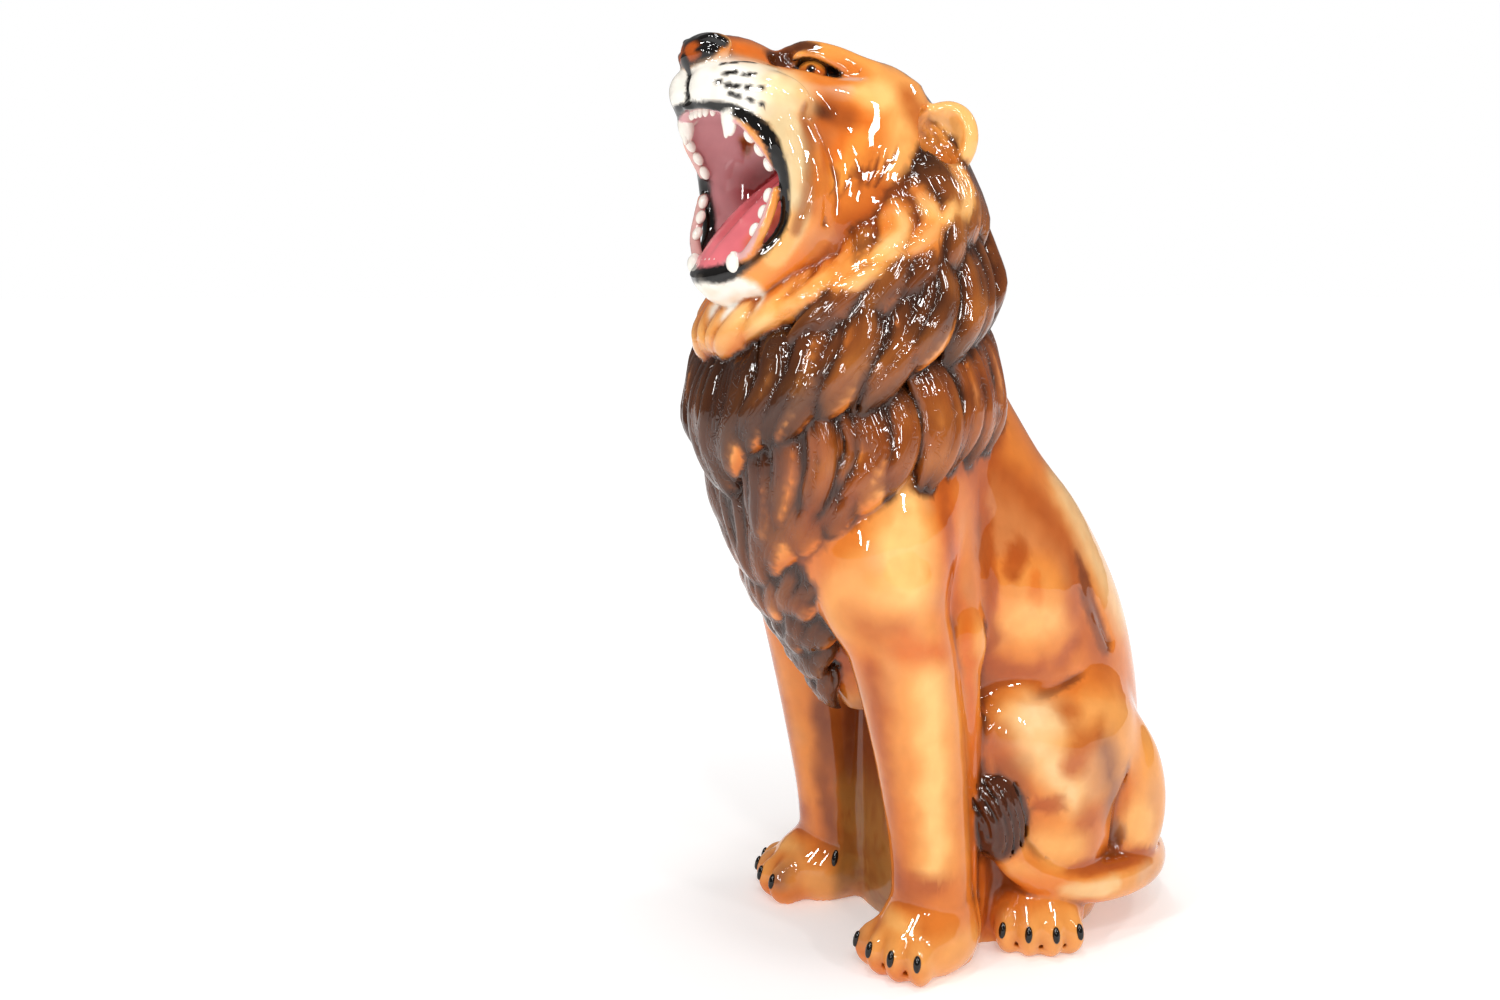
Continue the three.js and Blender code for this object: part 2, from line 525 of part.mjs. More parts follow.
// Merges the shortest-error edges until the wanted number of facets is left. The face keeps
// more of its facets than the smooth flanks.
function thin({ points, faces }, wanted) {
  const n = points.length;
  const quad = Array.from({ length: n }, () => new Float64Array(10));
  const around = Array.from({ length: n }, () => new Set());
  const live = faces.map(() => true);
  const normal = (a, b, c) => {
    const [ux, uy, uz] = [b[0] - a[0], b[1] - a[1], b[2] - a[2]];
    const [vx, vy, vz] = [c[0] - a[0], c[1] - a[1], c[2] - a[2]];
    return [uy * vz - uz * vy, uz * vx - ux * vz, ux * vy - uy * vx];
  };
  const weight = (p) => {
    if (p[2] < -4) return 0.01;
    if (p[2] < 60) return PAW_WEIGHT;
    if (p[2] > 610 && p[1] < -150) return FACE_WEIGHT;
    if (p[2] > 250 && p[1] < 60) return MANE_WEIGHT;
    return 1;
  };
  faces.forEach((f, i) => {
    const m = normal(points[f[0]], points[f[1]], points[f[2]]);
    const l = Math.hypot(...m) || 1;
    const [a, b, c] = m.map((v) => v / l);
    const p = points[f[0]];
    const d = -(a * p[0] + b * p[1] + c * p[2]);
    const w = (l / 2) * weight(p);
    const q = [a * a, a * b, a * c, a * d, b * b, b * c, b * d, c * c, c * d, d * d];
    for (const v of f) {
      q.forEach((x, j) => { quad[v][j] += x * w; });
      around[v].add(i);
    }
  });
  const cost = (q, p) => q[0] * p[0] * p[0] + 2 * q[1] * p[0] * p[1] + 2 * q[2] * p[0] * p[2]
    + 2 * q[3] * p[0] + q[4] * p[1] * p[1] + 2 * q[5] * p[1] * p[2] + 2 * q[6] * p[1]
    + q[7] * p[2] * p[2] + 2 * q[8] * p[2] + q[9];
  const best = (a, b) => {
    const q = quad[a].map((v, j) => v + quad[b][j]);
    const mid = points[a].map((v, j) => (v + points[b][j]) / 2);
    const options = [mid, points[a], points[b]];
    const det = q[0] * (q[4] * q[7] - q[5] * q[5]) - q[1] * (q[1] * q[7] - q[5] * q[2])
      + q[2] * (q[1] * q[5] - q[4] * q[2]);
    if (Math.abs(det) > 1e-3) {
      const m = new THREE.Matrix3().set(q[0], q[1], q[2], q[1], q[4], q[5], q[2], q[5], q[7]);
      const s = new THREE.Vector3(-q[3], -q[6], -q[8]).applyMatrix3(m.invert());
      if (Math.hypot(s.x - mid[0], s.y - mid[1], s.z - mid[2]) < 3 * CELL)
        options.unshift([s.x, s.y, s.z]);
    }
    let [point, least] = [mid, Infinity];
    for (const p of options) {
      const e = cost(q, p) + 1e-4 * Math.hypot(...p.map((v, j) => v - mid[j]));
      if (e < least) [point, least] = [p, e];
    }
    return { e: least, p: point };
  };
  // A heap of edges, cheapest first.
  const heap = [];
  const push = (item) => {
    let i = heap.push(item) - 1;
    while (i > 0) {
      const up = (i - 1) >> 1;
      if (heap[up].e <= heap[i].e) break;
      [heap[up], heap[i]] = [heap[i], heap[up]];
      i = up;
    }
  };
  const pop = () => {
    const top = heap[0];
    const end = heap.pop();
    if (heap.length) {
      heap[0] = end;
      let i = 0;
      for (;;) {
        let least = i;
        for (const c of [2 * i + 1, 2 * i + 2])
          if (c < heap.length && heap[c].e < heap[least].e) least = c;
        if (least === i) break;
        [heap[least], heap[i]] = [heap[i], heap[least]];
        i = least;
      }
    }
    return top;
  };
  const stamp = new Int32Array(n);
  const offer = (a, b) => push({ ...best(a, b), a, b, s: stamp[a], t: stamp[b] });
  const ring = (v) => {
    const out = new Set();
    for (const f of around[v]) for (const u of faces[f]) if (u !== v) out.add(u);
    return out;
  };
  for (const f of faces) for (const [a, b] of [[0, 1], [1, 2], [2, 0]])
    if (f[a] < f[b]) offer(f[a], f[b]);
  let left = faces.length;
  while (left > wanted && heap.length) {
    const { a, b, p, s, t } = pop();
    if (s !== stamp[a] || t !== stamp[b]) continue;
    const [ra, rb] = [ring(a), ring(b)];
    let shared = 0;
    for (const v of ra) if (rb.has(v)) shared += 1;
    if (shared !== 2 || !ra.has(b)) continue;
    let good = true;
    for (const [v, other] of [[a, b], [b, a]]) {
      for (const f of around[v]) {
        if (faces[f].includes(other)) continue;
        const old = faces[f].map((u) => points[u]);
        const now = faces[f].map((u) => (u === v ? p : points[u]));
        const m = normal(...old);
        const w = normal(...now);
        const along = m[0] * w[0] + m[1] * w[1] + m[2] * w[2];
        const turned = along / (Math.hypot(...m) * Math.hypot(...w) + 1e-9);
        const longest = Math.max(...[0, 1, 2].map((c) => Math.hypot(
          now[c][0] - now[(c + 1) % 3][0], now[c][1] - now[(c + 1) % 3][1],
          now[c][2] - now[(c + 1) % 3][2],
        )));
        if (turned < 0.25 || Math.hypot(...w) < 0.04 * longest * longest) { good = false; break; }
      }
      if (!good) break;
    }
    if (!good) continue;
    for (const f of around[b]) {
      if (faces[f].includes(a)) {
        live[f] = false;
        left -= 1;
        for (const u of faces[f]) if (u !== b) around[u].delete(f);
      } else {
        faces[f] = faces[f].map((u) => (u === b ? a : u));
        around[a].add(f);
      }
    }
    around[b].clear();
    points[a] = p;
    quad[b].forEach((v, j) => { quad[a][j] += v; });
    stamp[a] += 1;
    stamp[b] += 1;
    for (const u of ring(a)) offer(a, u);
  }
  const used = new Map();
  const out = { points: [], faces: [] };
  faces.forEach((f, i) => {
    if (!live[i]) return;
    out.faces.push(f.map((v) => {
      if (!used.has(v)) {
        used.set(v, out.points.length);
        out.points.push(points[v]);
      }
      return used.get(v);
    }));
  });
  return out;
}

function solid({ points, faces }) {
  const made = new wasm.Manifold(new wasm.Mesh({
    numProp: 3,
    vertProperties: new Float32Array(points.flat()),
    triVerts: new Uint32Array(faces.flat()),
  }));
  return made;
}

// The foot of the casting is ground flat at z = 0.
const slab = new THREE.BoxGeometry(900, 900, 100).translate(0, 0, -50);
const slabPoints = [];
const slabFaces = [];
for (let i = 0; i < slab.index.count; i += 3) {
  slabFaces.push([0, 1, 2].map((j) => {
    const p = [0, 1, 2].map((k) => slab.attributes.position.array[3 * slab.index.array[i + j] + k]);
    const known = slabPoints.findIndex((q) => q.every((v, k) => v === p[k]));
    return known < 0 ? slabPoints.push(p) - 1 : known;
  }));
}
const below = solid({ points: slabPoints, faces: slabFaces });
closePinholes();
const cast = solid(thin(outer(skin()), FACETS)).subtract(below).getMesh();

const geometry = new THREE.BufferGeometry();
const skinPoints = new Float32Array(cast.vertProperties);
geometry.setAttribute("position", new THREE.BufferAttribute(skinPoints, 3));
geometry.setIndex(new THREE.BufferAttribute(new Uint32Array(cast.triVerts), 1));
geometry.translate(SIDEWAYS, FORWARD, 0);
geometry.computeVertexNormals();

const glaze = new THREE.MeshStandardMaterial({ color: 0xc9793a, roughness: 0.12, metalness: 0 });
const lion = new THREE.Mesh(geometry, glaze);
lion.name = "lion";

const part = new THREE.Group();
part.add(lion);
export default part;
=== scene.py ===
# %% [markdown]
# # A glazed ceramic lion, seated and roaring
# A tall floor figure: slip-cast in one piece, airbrushed in amber, rust and dark brown, and
# dipped in a very clear glaze. The frame gives the plain solid. Here it gets its fine surface,
# with every lock of the mane split into strands, teeth, eyes and claws, and its painting.
# %% Load the frame
import math
import bpy
import numpy as np
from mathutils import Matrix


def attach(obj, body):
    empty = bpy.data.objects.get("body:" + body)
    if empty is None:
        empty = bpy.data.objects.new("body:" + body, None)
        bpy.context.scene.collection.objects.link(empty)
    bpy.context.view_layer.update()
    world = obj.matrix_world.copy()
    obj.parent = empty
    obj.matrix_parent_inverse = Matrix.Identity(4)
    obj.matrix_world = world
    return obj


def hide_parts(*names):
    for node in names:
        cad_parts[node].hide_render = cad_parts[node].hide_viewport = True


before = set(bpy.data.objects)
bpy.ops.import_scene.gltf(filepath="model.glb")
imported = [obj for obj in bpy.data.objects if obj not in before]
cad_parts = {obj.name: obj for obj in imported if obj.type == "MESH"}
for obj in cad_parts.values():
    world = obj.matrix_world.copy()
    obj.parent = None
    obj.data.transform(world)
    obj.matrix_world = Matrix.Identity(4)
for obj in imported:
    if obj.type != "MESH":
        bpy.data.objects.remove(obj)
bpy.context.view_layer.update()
MM = 0.001

# %% [markdown]
# ## The camera
# It stands low on the lion's left front, 58 degrees round from its face, and looks at the
# middle of the body, a little downwards. The lens follows from the figure's height in the
# picture. There is no shift, and nothing is out of focus.
# %% Camera
CAMERA_AT = (1.23167, -0.77038, 0.630)
CAMERA_TURN = (82.0691, 0.0, 64.8607)
CAMERA_LENS = 35.424
camera_data = bpy.data.cameras.new("camera")
camera_data.lens = CAMERA_LENS
camera_data.sensor_width = 36.0
camera_data.clip_end = 900.0
camera = bpy.data.objects.new("camera", camera_data)
camera.location = CAMERA_AT
camera.rotation_euler = [math.radians(a) for a in CAMERA_TURN]
bpy.context.scene.collection.objects.link(camera)
bpy.context.scene.camera = camera
print("camera at", CAMERA_AT)

# %% [markdown]
# ## Studio light and floor
# A clear glaze mirrors its lights. Seven small soft boxes give the figure its light and shade,
# and four more are seen only in the glaze, as glints on every ridge. A white room does the rest.
# The floor is plain and nearly white.
# %% Light
MIDDLE = (0.0, 0.0, 0.45)
# Soft boxes: name, place, width and height, watts, and whether only the glaze sees them.
SOFT_BOXES = [
    ("key", (0.9, -2.3, 1.9), (0.16, 0.22), 11, False),
    ("high", (1.7, -1.0, 2.3), (0.14, 0.2), 10, False),
    ("side", (2.3, 0.6, 1.3), (0.12, 0.26), 9, False),
    ("low", (1.9, -1.7, 0.9), (0.10, 0.16), 4, False),
    ("glint", (1.5, -0.4, 1.7), (0.07, 0.07), 2, False),
    ("back", (0.3, 1.9, 2.1), (0.3, 0.3), 7, False),
    ("top", (0.3, -0.4, 2.7), (0.3, 0.3), 9, False),
    ("front glint", (1.3, -2.1, 1.5), (0.2, 0.6), 15, True),
    ("side glint", (2.2, 0.2, 1.6), (0.22, 0.36), 11, True),
    ("high glint", (1.5, -1.1, 2.4), (0.24, 0.3), 11, True),
    ("low glint", (2.2, -1.3, 0.75), (0.12, 0.3), 4, True),
]
for name, at, box_size, watts, glint_only in SOFT_BOXES:
    data = bpy.data.lights.new(name, "AREA")
    data.shape = "RECTANGLE"
    data.size, data.size_y = box_size
    data.energy = watts
    box = bpy.data.objects.new(name, data)
    box.location = at
    away = np.array(MIDDLE) - np.array(at)
    box.rotation_euler = (
        math.acos(-away[2] / np.linalg.norm(away)), 0.0, math.atan2(away[1], away[0]) - math.pi / 2)
    box.visible_diffuse = not glint_only
    bpy.context.scene.collection.objects.link(box)
print(len(SOFT_BOXES), "soft boxes look at", MIDDLE)

# %% White room
# What the camera sees behind the figure is white. The room is dimmer as a light, and dimmer
# still as the glaze mirrors it.
ROOM_SEEN = 1.0
ROOM_LIGHT = 0.5
ROOM_SHINE = 0.22
world = bpy.data.worlds.new("white room")
world.use_nodes = True
room = world.node_tree
back = room.nodes["Background"]
back.inputs["Color"].default_value = (1.0, 1.0, 1.0, 1.0)
ray = room.nodes.new("ShaderNodeLightPath")

def feed(tree, slot, value):
    """Give a socket a number, or link another node's output to it."""
    if isinstance(value, (int, float)):
        slot.default_value = value
    else:
        tree.links.new(value, slot)

def by_ray(kind, others, these):
    """One strength for one kind of ray, and another for all others."""
    made = room.nodes.new("ShaderNodeMapRange")
    feed(room, made.inputs["Value"], ray.outputs[kind])
    feed(room, made.inputs["To Min"], others)
    feed(room, made.inputs["To Max"], these)
    return made.outputs["Result"]

room_light = by_ray("Is Glossy Ray", ROOM_LIGHT, ROOM_SHINE)
feed(room, back.inputs["Strength"], by_ray("Is Camera Ray", room_light, ROOM_SEEN))
bpy.context.scene.world = world
bpy.context.scene.view_settings.view_transform = "Standard"
print("white room", ROOM_SEEN, "to the camera,", ROOM_LIGHT, "as a light,", ROOM_SHINE, "in the glaze")

# %% Floor
def plain_material(name, colour, roughness):
    """A material of one colour and one roughness."""
    made = bpy.data.materials.new(name)
    made.use_nodes = True
    shader = made.node_tree.nodes["Principled BSDF"]
    shader.inputs["Base Color"].default_value = (*colour, 1.0)
    shader.inputs["Roughness"].default_value = roughness
    return made

def deselect():
    """Let go of every selected object."""
    for other in bpy.context.selected_objects:
        other.select_set(False)

# The floor glows a little, more away from the figure, so that it ends in plain white.
FLOOR_SIZE = 400.0
GLOW_NEAR, GLOW_FAR = (0.25, 0.26), (1.3, 0.62)
deselect()
bpy.ops.mesh.primitive_plane_add(size=FLOOR_SIZE, location=(0.0, 0.0, 0.0))
floor = bpy.context.active_object
floor.name = "floor"
pale = plain_material("pale floor", (0.9, 0.9, 0.9), 0.8)
tree = pale.node_tree
white = tree.nodes["Principled BSDF"]
white.inputs["Specular IOR Level"].default_value = 0.0
white.inputs["Emission Color"].default_value = (1.0, 1.0, 1.0, 1.0)
spot = tree.nodes.new("ShaderNodeTexCoord")
far_off = tree.nodes.new("ShaderNodeVectorMath")
far_off.operation = "LENGTH"
lift = tree.nodes.new("ShaderNodeMapRange")
for end, (distance_off, glow) in (("Min", GLOW_NEAR), ("Max", GLOW_FAR)):
    lift.inputs["From " + end].default_value = distance_off
    lift.inputs["To " + end].default_value = glow
tree.links.new(spot.outputs["Object"], far_off.inputs[0])
tree.links.new(far_off.outputs["Value"], lift.inputs["Value"])
tree.links.new(lift.outputs["Result"], white.inputs["Emission Strength"])
floor.data.materials.append(pale)
print("floor", tuple(floor.dimensions)[:2])

# %% [markdown]
# ## Digital clay
# A sculpted body can't be extruded from a box and keep soft muscles that run into each other.
# So it is worked out as a sculptor's clay is: every mass is a distance (in millimetres) on a
# fine grid of points, and masses are pressed together with a soft blend or scooped out. The
# skin is where the distance is nought. The solid was made by the same rules on a coarse grid.
# %% The block of clay
F = np.float32
CELL = 2.0
BLOCK_LOW = np.array((-182.0, -296.0, -12.0))
BLOCK_HIGH = np.array((166.0, 268.0, 864.0))
size = np.ceil((BLOCK_HIGH - BLOCK_LOW) / CELL).astype(int) + 1
# Where there is no clay yet, the distance is greater than any blend.
EMPTY = 60.0
block = np.full(size, EMPTY, F)
rulers = [(BLOCK_LOW[i] + CELL * np.arange(size[i])).astype(F) for i in range(3)]
print("block of", size.prod() // 1000, "thousand points")

def put(form, blend, sides=(1,), scoop=False):
    """Press a form onto the clay, or scoop it out, on the sides it is wanted."""
    for side in sides:
        distance, low, high = mirrored(form) if side < 0 else form
        pad = blend + 2.5 * CELL
        a = np.maximum(np.floor((low - pad - BLOCK_LOW) / CELL).astype(int), 0)
        b = np.minimum(np.ceil((high + pad - BLOCK_LOW) / CELL).astype(int) + 1, size)
        if (b <= a).any():
            continue
        here = tuple(slice(a[i], b[i]) for i in range(3))
        x, y, z = [rulers[i][here[i]] for i in range(3)]
        d = distance(x[:, None, None], y[None, :, None], z[None, None, :]).astype(F)
        old = -block[here] if scoop else block[here]
        new = np.minimum(old, d)
        if blend > 0:
            h = np.maximum(F(blend) - np.abs(old - d), 0)
            new = new - h * h * F(0.25 / blend)
        block[here] = -new if scoop else new

def mirrored(form):
    """The same form on the lion's right side."""
    distance, low, high = form
    return (
        lambda x, y, z: distance(-x, y, z),
        np.array([-high[0], low[1], low[2]]), np.array([-low[0], high[1], high[2]]))

# %% [markdown]
# ## The forms
# Three kinds of form are enough: an egg, a rod whose radius changes along a smooth line, and an
# upright column of oval sections. Each is a distance, with the box that it lies in, and each can
# be mirrored, or turned with the head.
# %% Egg and smooth line
def turn_matrix(tilt):
    """Turns about x, y and z, in degrees, as one matrix."""
    cx, cy, cz = [math.cos(math.radians(v)) for v in tilt]
    sx, sy, sz = [math.sin(math.radians(v)) for v in tilt]
    return np.array([[cz, -sz, 0], [sz, cz, 0], [0, 0, 1]]) @ np.array(
        [[cy, 0, sy], [0, 1, 0], [-sy, 0, cy]]) @ np.array([[1, 0, 0], [0, cx, -sx], [0, sx, cx]])

def egg(centre, radii, tilt=(0, 0, 0), power=2):
    """An egg. With a power above 2 its sides are fuller."""
    m = turn_matrix(tilt).astype(F)
    c = np.array(centre, F)
    r = np.array(radii, F)
    def distance(x, y, z):
        dx, dy, dz = x - c[0], y - c[1], z - c[2]
        u = [(m[0, i] * dx + m[1, i] * dy + m[2, i] * dz) / r[i] for i in range(3)]
        if power > 2:
            q = sum(np.abs(v) ** F(power) for v in u) ** F(1 / power)
            return (q - 1) * r.min()
        k = np.sqrt(u[0] ** 2 + u[1] ** 2 + u[2] ** 2)
        g = np.sqrt(sum((v / s) ** 2 for v, s in zip(u, r)) + F(1e-9))
        return k * (k - 1) / g
    reach = np.abs(m) @ r if power > 2 else np.sqrt(((m * r) ** 2).sum(1))
    return distance, c - reach, c + reach

def smooth_line(rows, steps):
    """Rows of numbers joined by a smooth line, with steps between them."""
    p = np.array(rows, float)
    p = np.vstack([2 * p[0] - p[1], p, 2 * p[-1] - p[-2]])
    out = []
    for i in range(1, len(p) - 2):
        a, b, c, d = p[i - 1:i + 3]
        for t in np.arange(steps) / steps:
            out.append(0.5 * (2 * b + (c - a) * t + (2 * a - 5 * b + 4 * c - d) * t * t
                              + (3 * b - a - 3 * c + d) * t ** 3))
    out.append(p[-2])
    return np.array(out)

print("an egg reaches", egg((0, 0, 0), (30, 20, 10))[2].round(1), "mm from its middle")

# %% Rod, column and turned head
def limb(rows, steps=4, flat=1.0, flat_way=(1, 0, 0), soften=1.0):
    """A rod through rows of x, y, z, radius. A flat above 1 thins it along flat_way."""
    line = smooth_line(rows, steps)
    way = np.array(flat_way, float) / np.linalg.norm(flat_way)
    def distance(x, y, z):
        best = None
        for a, b in zip(line[:-1], line[1:]):
            d = [x - F(a[0]), y - F(a[1]), z - F(a[2])]
            e = b[:3] - a[:3]
            if flat != 1.0:
                s = sum(d[i] * F(way[i]) for i in range(3)) * F(flat - 1)
                d = [d[i] + s * F(way[i]) for i in range(3)]
                e = e + way * (e @ way) * (flat - 1)
            t = np.clip(sum(d[i] * F(e[i]) for i in range(3)) * F(1 / (e @ e + 1e-9)), 0, 1)
            q = np.sqrt(sum((d[i] - t * F(e[i])) ** 2 for i in range(3)))
            q = q - (F(a[3]) + t * F(b[3] - a[3]))
            best = q if best is None else np.minimum(best, q)
        return best * F(soften)
    r = line[:, 3:4]
    return distance, (line[:, :3] - r).min(0), (line[:, :3] + r).max(0)

def column(rows, steps=6, power=2.0):
    """An upright body through rows of height, front, back, half width."""
    line = smooth_line(rows, steps)
    def distance(x, y, z):
        h = np.clip(z, line[0, 0], line[-1, 0])
        front, back, w = [np.interp(h, line[:, 0], line[:, i]).astype(F) for i in (1, 2, 3)]
        half, middle = (back - front) / 2, (back + front) / 2
        q = (np.abs(x / w) ** F(power) + np.abs((y - middle) / half) ** F(power)) ** F(1 / power)
        return np.maximum((q - 1) * np.minimum(w, half),
                          np.maximum(F(line[0, 0]) - z, z - F(line[-1, 0])))
    w = line[:, 3].max()
    return (distance, np.array([-w, line[:, 1].min(), line[0, 0]]),
            np.array([w, line[:, 2].max(), line[-1, 0]]))

HEAD_TURN = math.radians(7.6)
HEAD_PIVOT = (0.0, -98.0)
HEAD_SHIFT = -2.0
def with_head(form):
    """A form of the head, which looks a little to the lion's left."""
    distance, low, high = form
    c, s = math.cos(HEAD_TURN), math.sin(HEAD_TURN)
    px, py = HEAD_PIVOT
    def moved(x, y, z):
        dx, dy = x - F(px + HEAD_SHIFT), y - F(py)
        return distance(F(c) * dx + F(s) * dy + F(px), F(c) * dy - F(s) * dx + F(py), z)
    corners = np.array([(x - px, y - py) for x in (low[0], high[0]) for y in (low[1], high[1])])
    out = np.stack([c * corners[:, 0] - s * corners[:, 1], s * corners[:, 0] + c * corners[:, 1]], 1)
    out += [px + HEAD_SHIFT, py]
    return moved, np.array([*out.min(0), low[2]]), np.array([*out.max(0), high[2]])

def put_head(form, blend, sides, scoop=False):
    """Press or scoop a form of the head, on the sides it is wanted."""
    for side in sides:
        put(with_head(mirrored(form) if side < 0 else form), blend, (1,), scoop)

print("the head is turned by", round(math.degrees(HEAD_TURN), 1), "degrees")

# %% [markdown]
# ## Body, paws and tail
# The lion sits upright on a narrow foot. Its forelegs stand straight, joined to the body by a
# low wall as castings are. All sizes are in millimetres, from the same named table as the solid.
# %% Tables of the body
ONE, BOTH, LEFT, RIGHT = (1,), (1, -1), (1,), (-1,)
# Upright sections of the trunk: height, front, back, half width.
TRUNK = [
    [-12, -46, 174, 92], [60, -50, 210, 103], [120, -52, 226, 110], [200, -56, 226, 111],
    [270, -80, 217, 108], [340, -120, 195, 104], [420, -150, 148, 98], [480, -170, 96, 92],
    [560, -170, 40, 80],
]
# Upright sections of the neck under the mane.
NECK = [
    [230, -104, -50, 20], [300, -150, -30, 48], [350, -182, -12, 82], [400, -198, 2, 103],
    [460, -220, 14, 112], [520, -236, 18, 117], [580, -234, 14, 117], [640, -208, 6, 113],
    [700, -170, -14, 104], [760, -140, -36, 88], [810, -118, -62, 64],
]
# Rounded masses of the body: shape, blend, sides.
BODY = [
    # chest
    [egg([0, -118, 425], [100, 92, 105], [-22, 0, 0]), 40, ONE],
    # low wall between the forelegs
    [egg([0, -24, 126], [99, 33, 154], [0, 0, 0], 4), 10, ONE],
    # ribs and belly
    [egg([62, 20, 345], [46, 74, 60], [-30, 0, 0]), 30, BOTH],
    # haunch, knee, buttock and the muscle between them
    [egg([86, 88, 180], [52, 92, 86], [16, 0, 6]), 16, BOTH],
    [egg([94, 26, 206], [38, 46, 54], [20, 0, 0]), 16, BOTH],
    [egg([76, 156, 128], [46, 58, 96], [4, 0, -16]), 10, BOTH],
    [egg([96, 74, 106], [38, 60, 62], [0, 0, 4]), 16, BOTH],
    # shoulder and upper arm
    [egg([84, -112, 398], [50, 70, 92], [-14, 0, 0]), 26, BOTH],
    # foreleg, wrist
    [limb([[86, -112, 360, 52], [94, -94, 280, 47], [97, -80, 200, 42], [96, -69, 120, 38],
      [95, -64, 60, 38]]), 16, BOTH],
    # wall behind the foreleg, and the elbow on it
    [limb([[84, -54, 446, 22], [94, -52, 380, 28], [100, -50, 316, 29], [100, -49, 230, 28],
      [98, -49, 120, 27], [96, -49, -12, 27]], 4, 1.5, [1, 0, 0]), 9, BOTH],
    [egg([106, -40, 314], [15, 19, 26], [12, 0, 0]), 12, BOTH],
]
print(len(TRUNK), "sections of the trunk,", len(BODY), "rounded masses")

# %% Tables of the tail, paws and creases
# The tail lies round the left side; its tuft stands against the thigh.
TAIL = [
    [-24, 222, 54, 20], [30, 234, 50, 22], [78, 202, 54, 22], [106, 158, 57, 22],
    [116, 106, 60, 22], [116, 56, 72, 21], [112, 22, 92, 19], [108, 4, 116, 17],
]
TUFT = egg([108, -2, 140], [26, 28, 43], [8, 0, 0])
# Paws: place, size, aim of the foot; heel, aim and reach of the toes; sides.
PAWS = [
    [[96, -70, 32], [46, 52, 41], 14, [88, -62], 18, 48, LEFT],
    [[102, -78, 32], [46, 52, 41], 14, [100, -72], 20, 50, RIGHT],
    [[92, 58, 32], [50, 46, 41], -28, [78, 64], 62, 47, BOTH],
]
# Creases cut into the body: behind the foreleg's wall, over the haunch, in the flank, the thigh.
CREASES = [
    [limb([[98, -24, 452, 3], [108, -17, 390, 5], [114, -13, 330, 6], [118, -17, 270, 6],
      [121, -17, 210, 5]]), 4, BOTH],
    [limb([[120, -8, 262, 5], [120, 24, 254, 6], [115, 58, 258, 6], [111, 88, 266, 4],
      [114, 112, 276, 1]]), 7, BOTH],
    [limb([[99, 100, 380, 3], [97, 122, 330, 6], [92, 140, 290, 4]]), 7, BOTH],
    [limb([[117, 138, 170, 3], [122, 134, 130, 6], [112, 136, 92, 6]]), 7, BOTH],
]
print(len(TAIL), "points of the tail,", len(PAWS), "kinds of paw,", len(CREASES), "creases")

# %% Press the body together
TOE_FAN = (-31, -10.5, 10.5, 31)
TOE_SIZE = (14.5, 26, 24)
TOE_HEIGHT = 21
PAW_BLEND, TOE_BLEND, TAIL_BLEND, NECK_BLEND = 14, 7, 6, 24
NECK_FULLNESS = 2.25
def toes(heel, fan, reach):
    """The middle of each toe, and the way it points in degrees."""
    for a in TOE_FAN:
        t = math.radians(a + fan)
        yield (heel[0] + math.sin(t) * reach, heel[1] - math.cos(t) * reach, TOE_HEIGHT), a + fan

put(column(TRUNK), 0)
for form, blend, sides in BODY:
    put(form, blend, sides)
for at, radii, aim, heel, fan, reach, sides in PAWS:
    put(egg(at, radii, (0, 0, aim)), PAW_BLEND, sides)
    for toe, way in toes(heel, fan, reach):
        put(egg(toe, TOE_SIZE, (0, 0, way)), TOE_BLEND, sides)
for form, blend, sides in CREASES:
    put(form, blend, sides, scoop=True)
put(limb(TAIL), TAIL_BLEND)
put(TUFT, TAIL_BLEND)
put(column(NECK, 6, NECK_FULLNESS), NECK_BLEND)
print("body pressed:", int((block < 0).sum() * CELL ** 3 / 1e6), "litres")

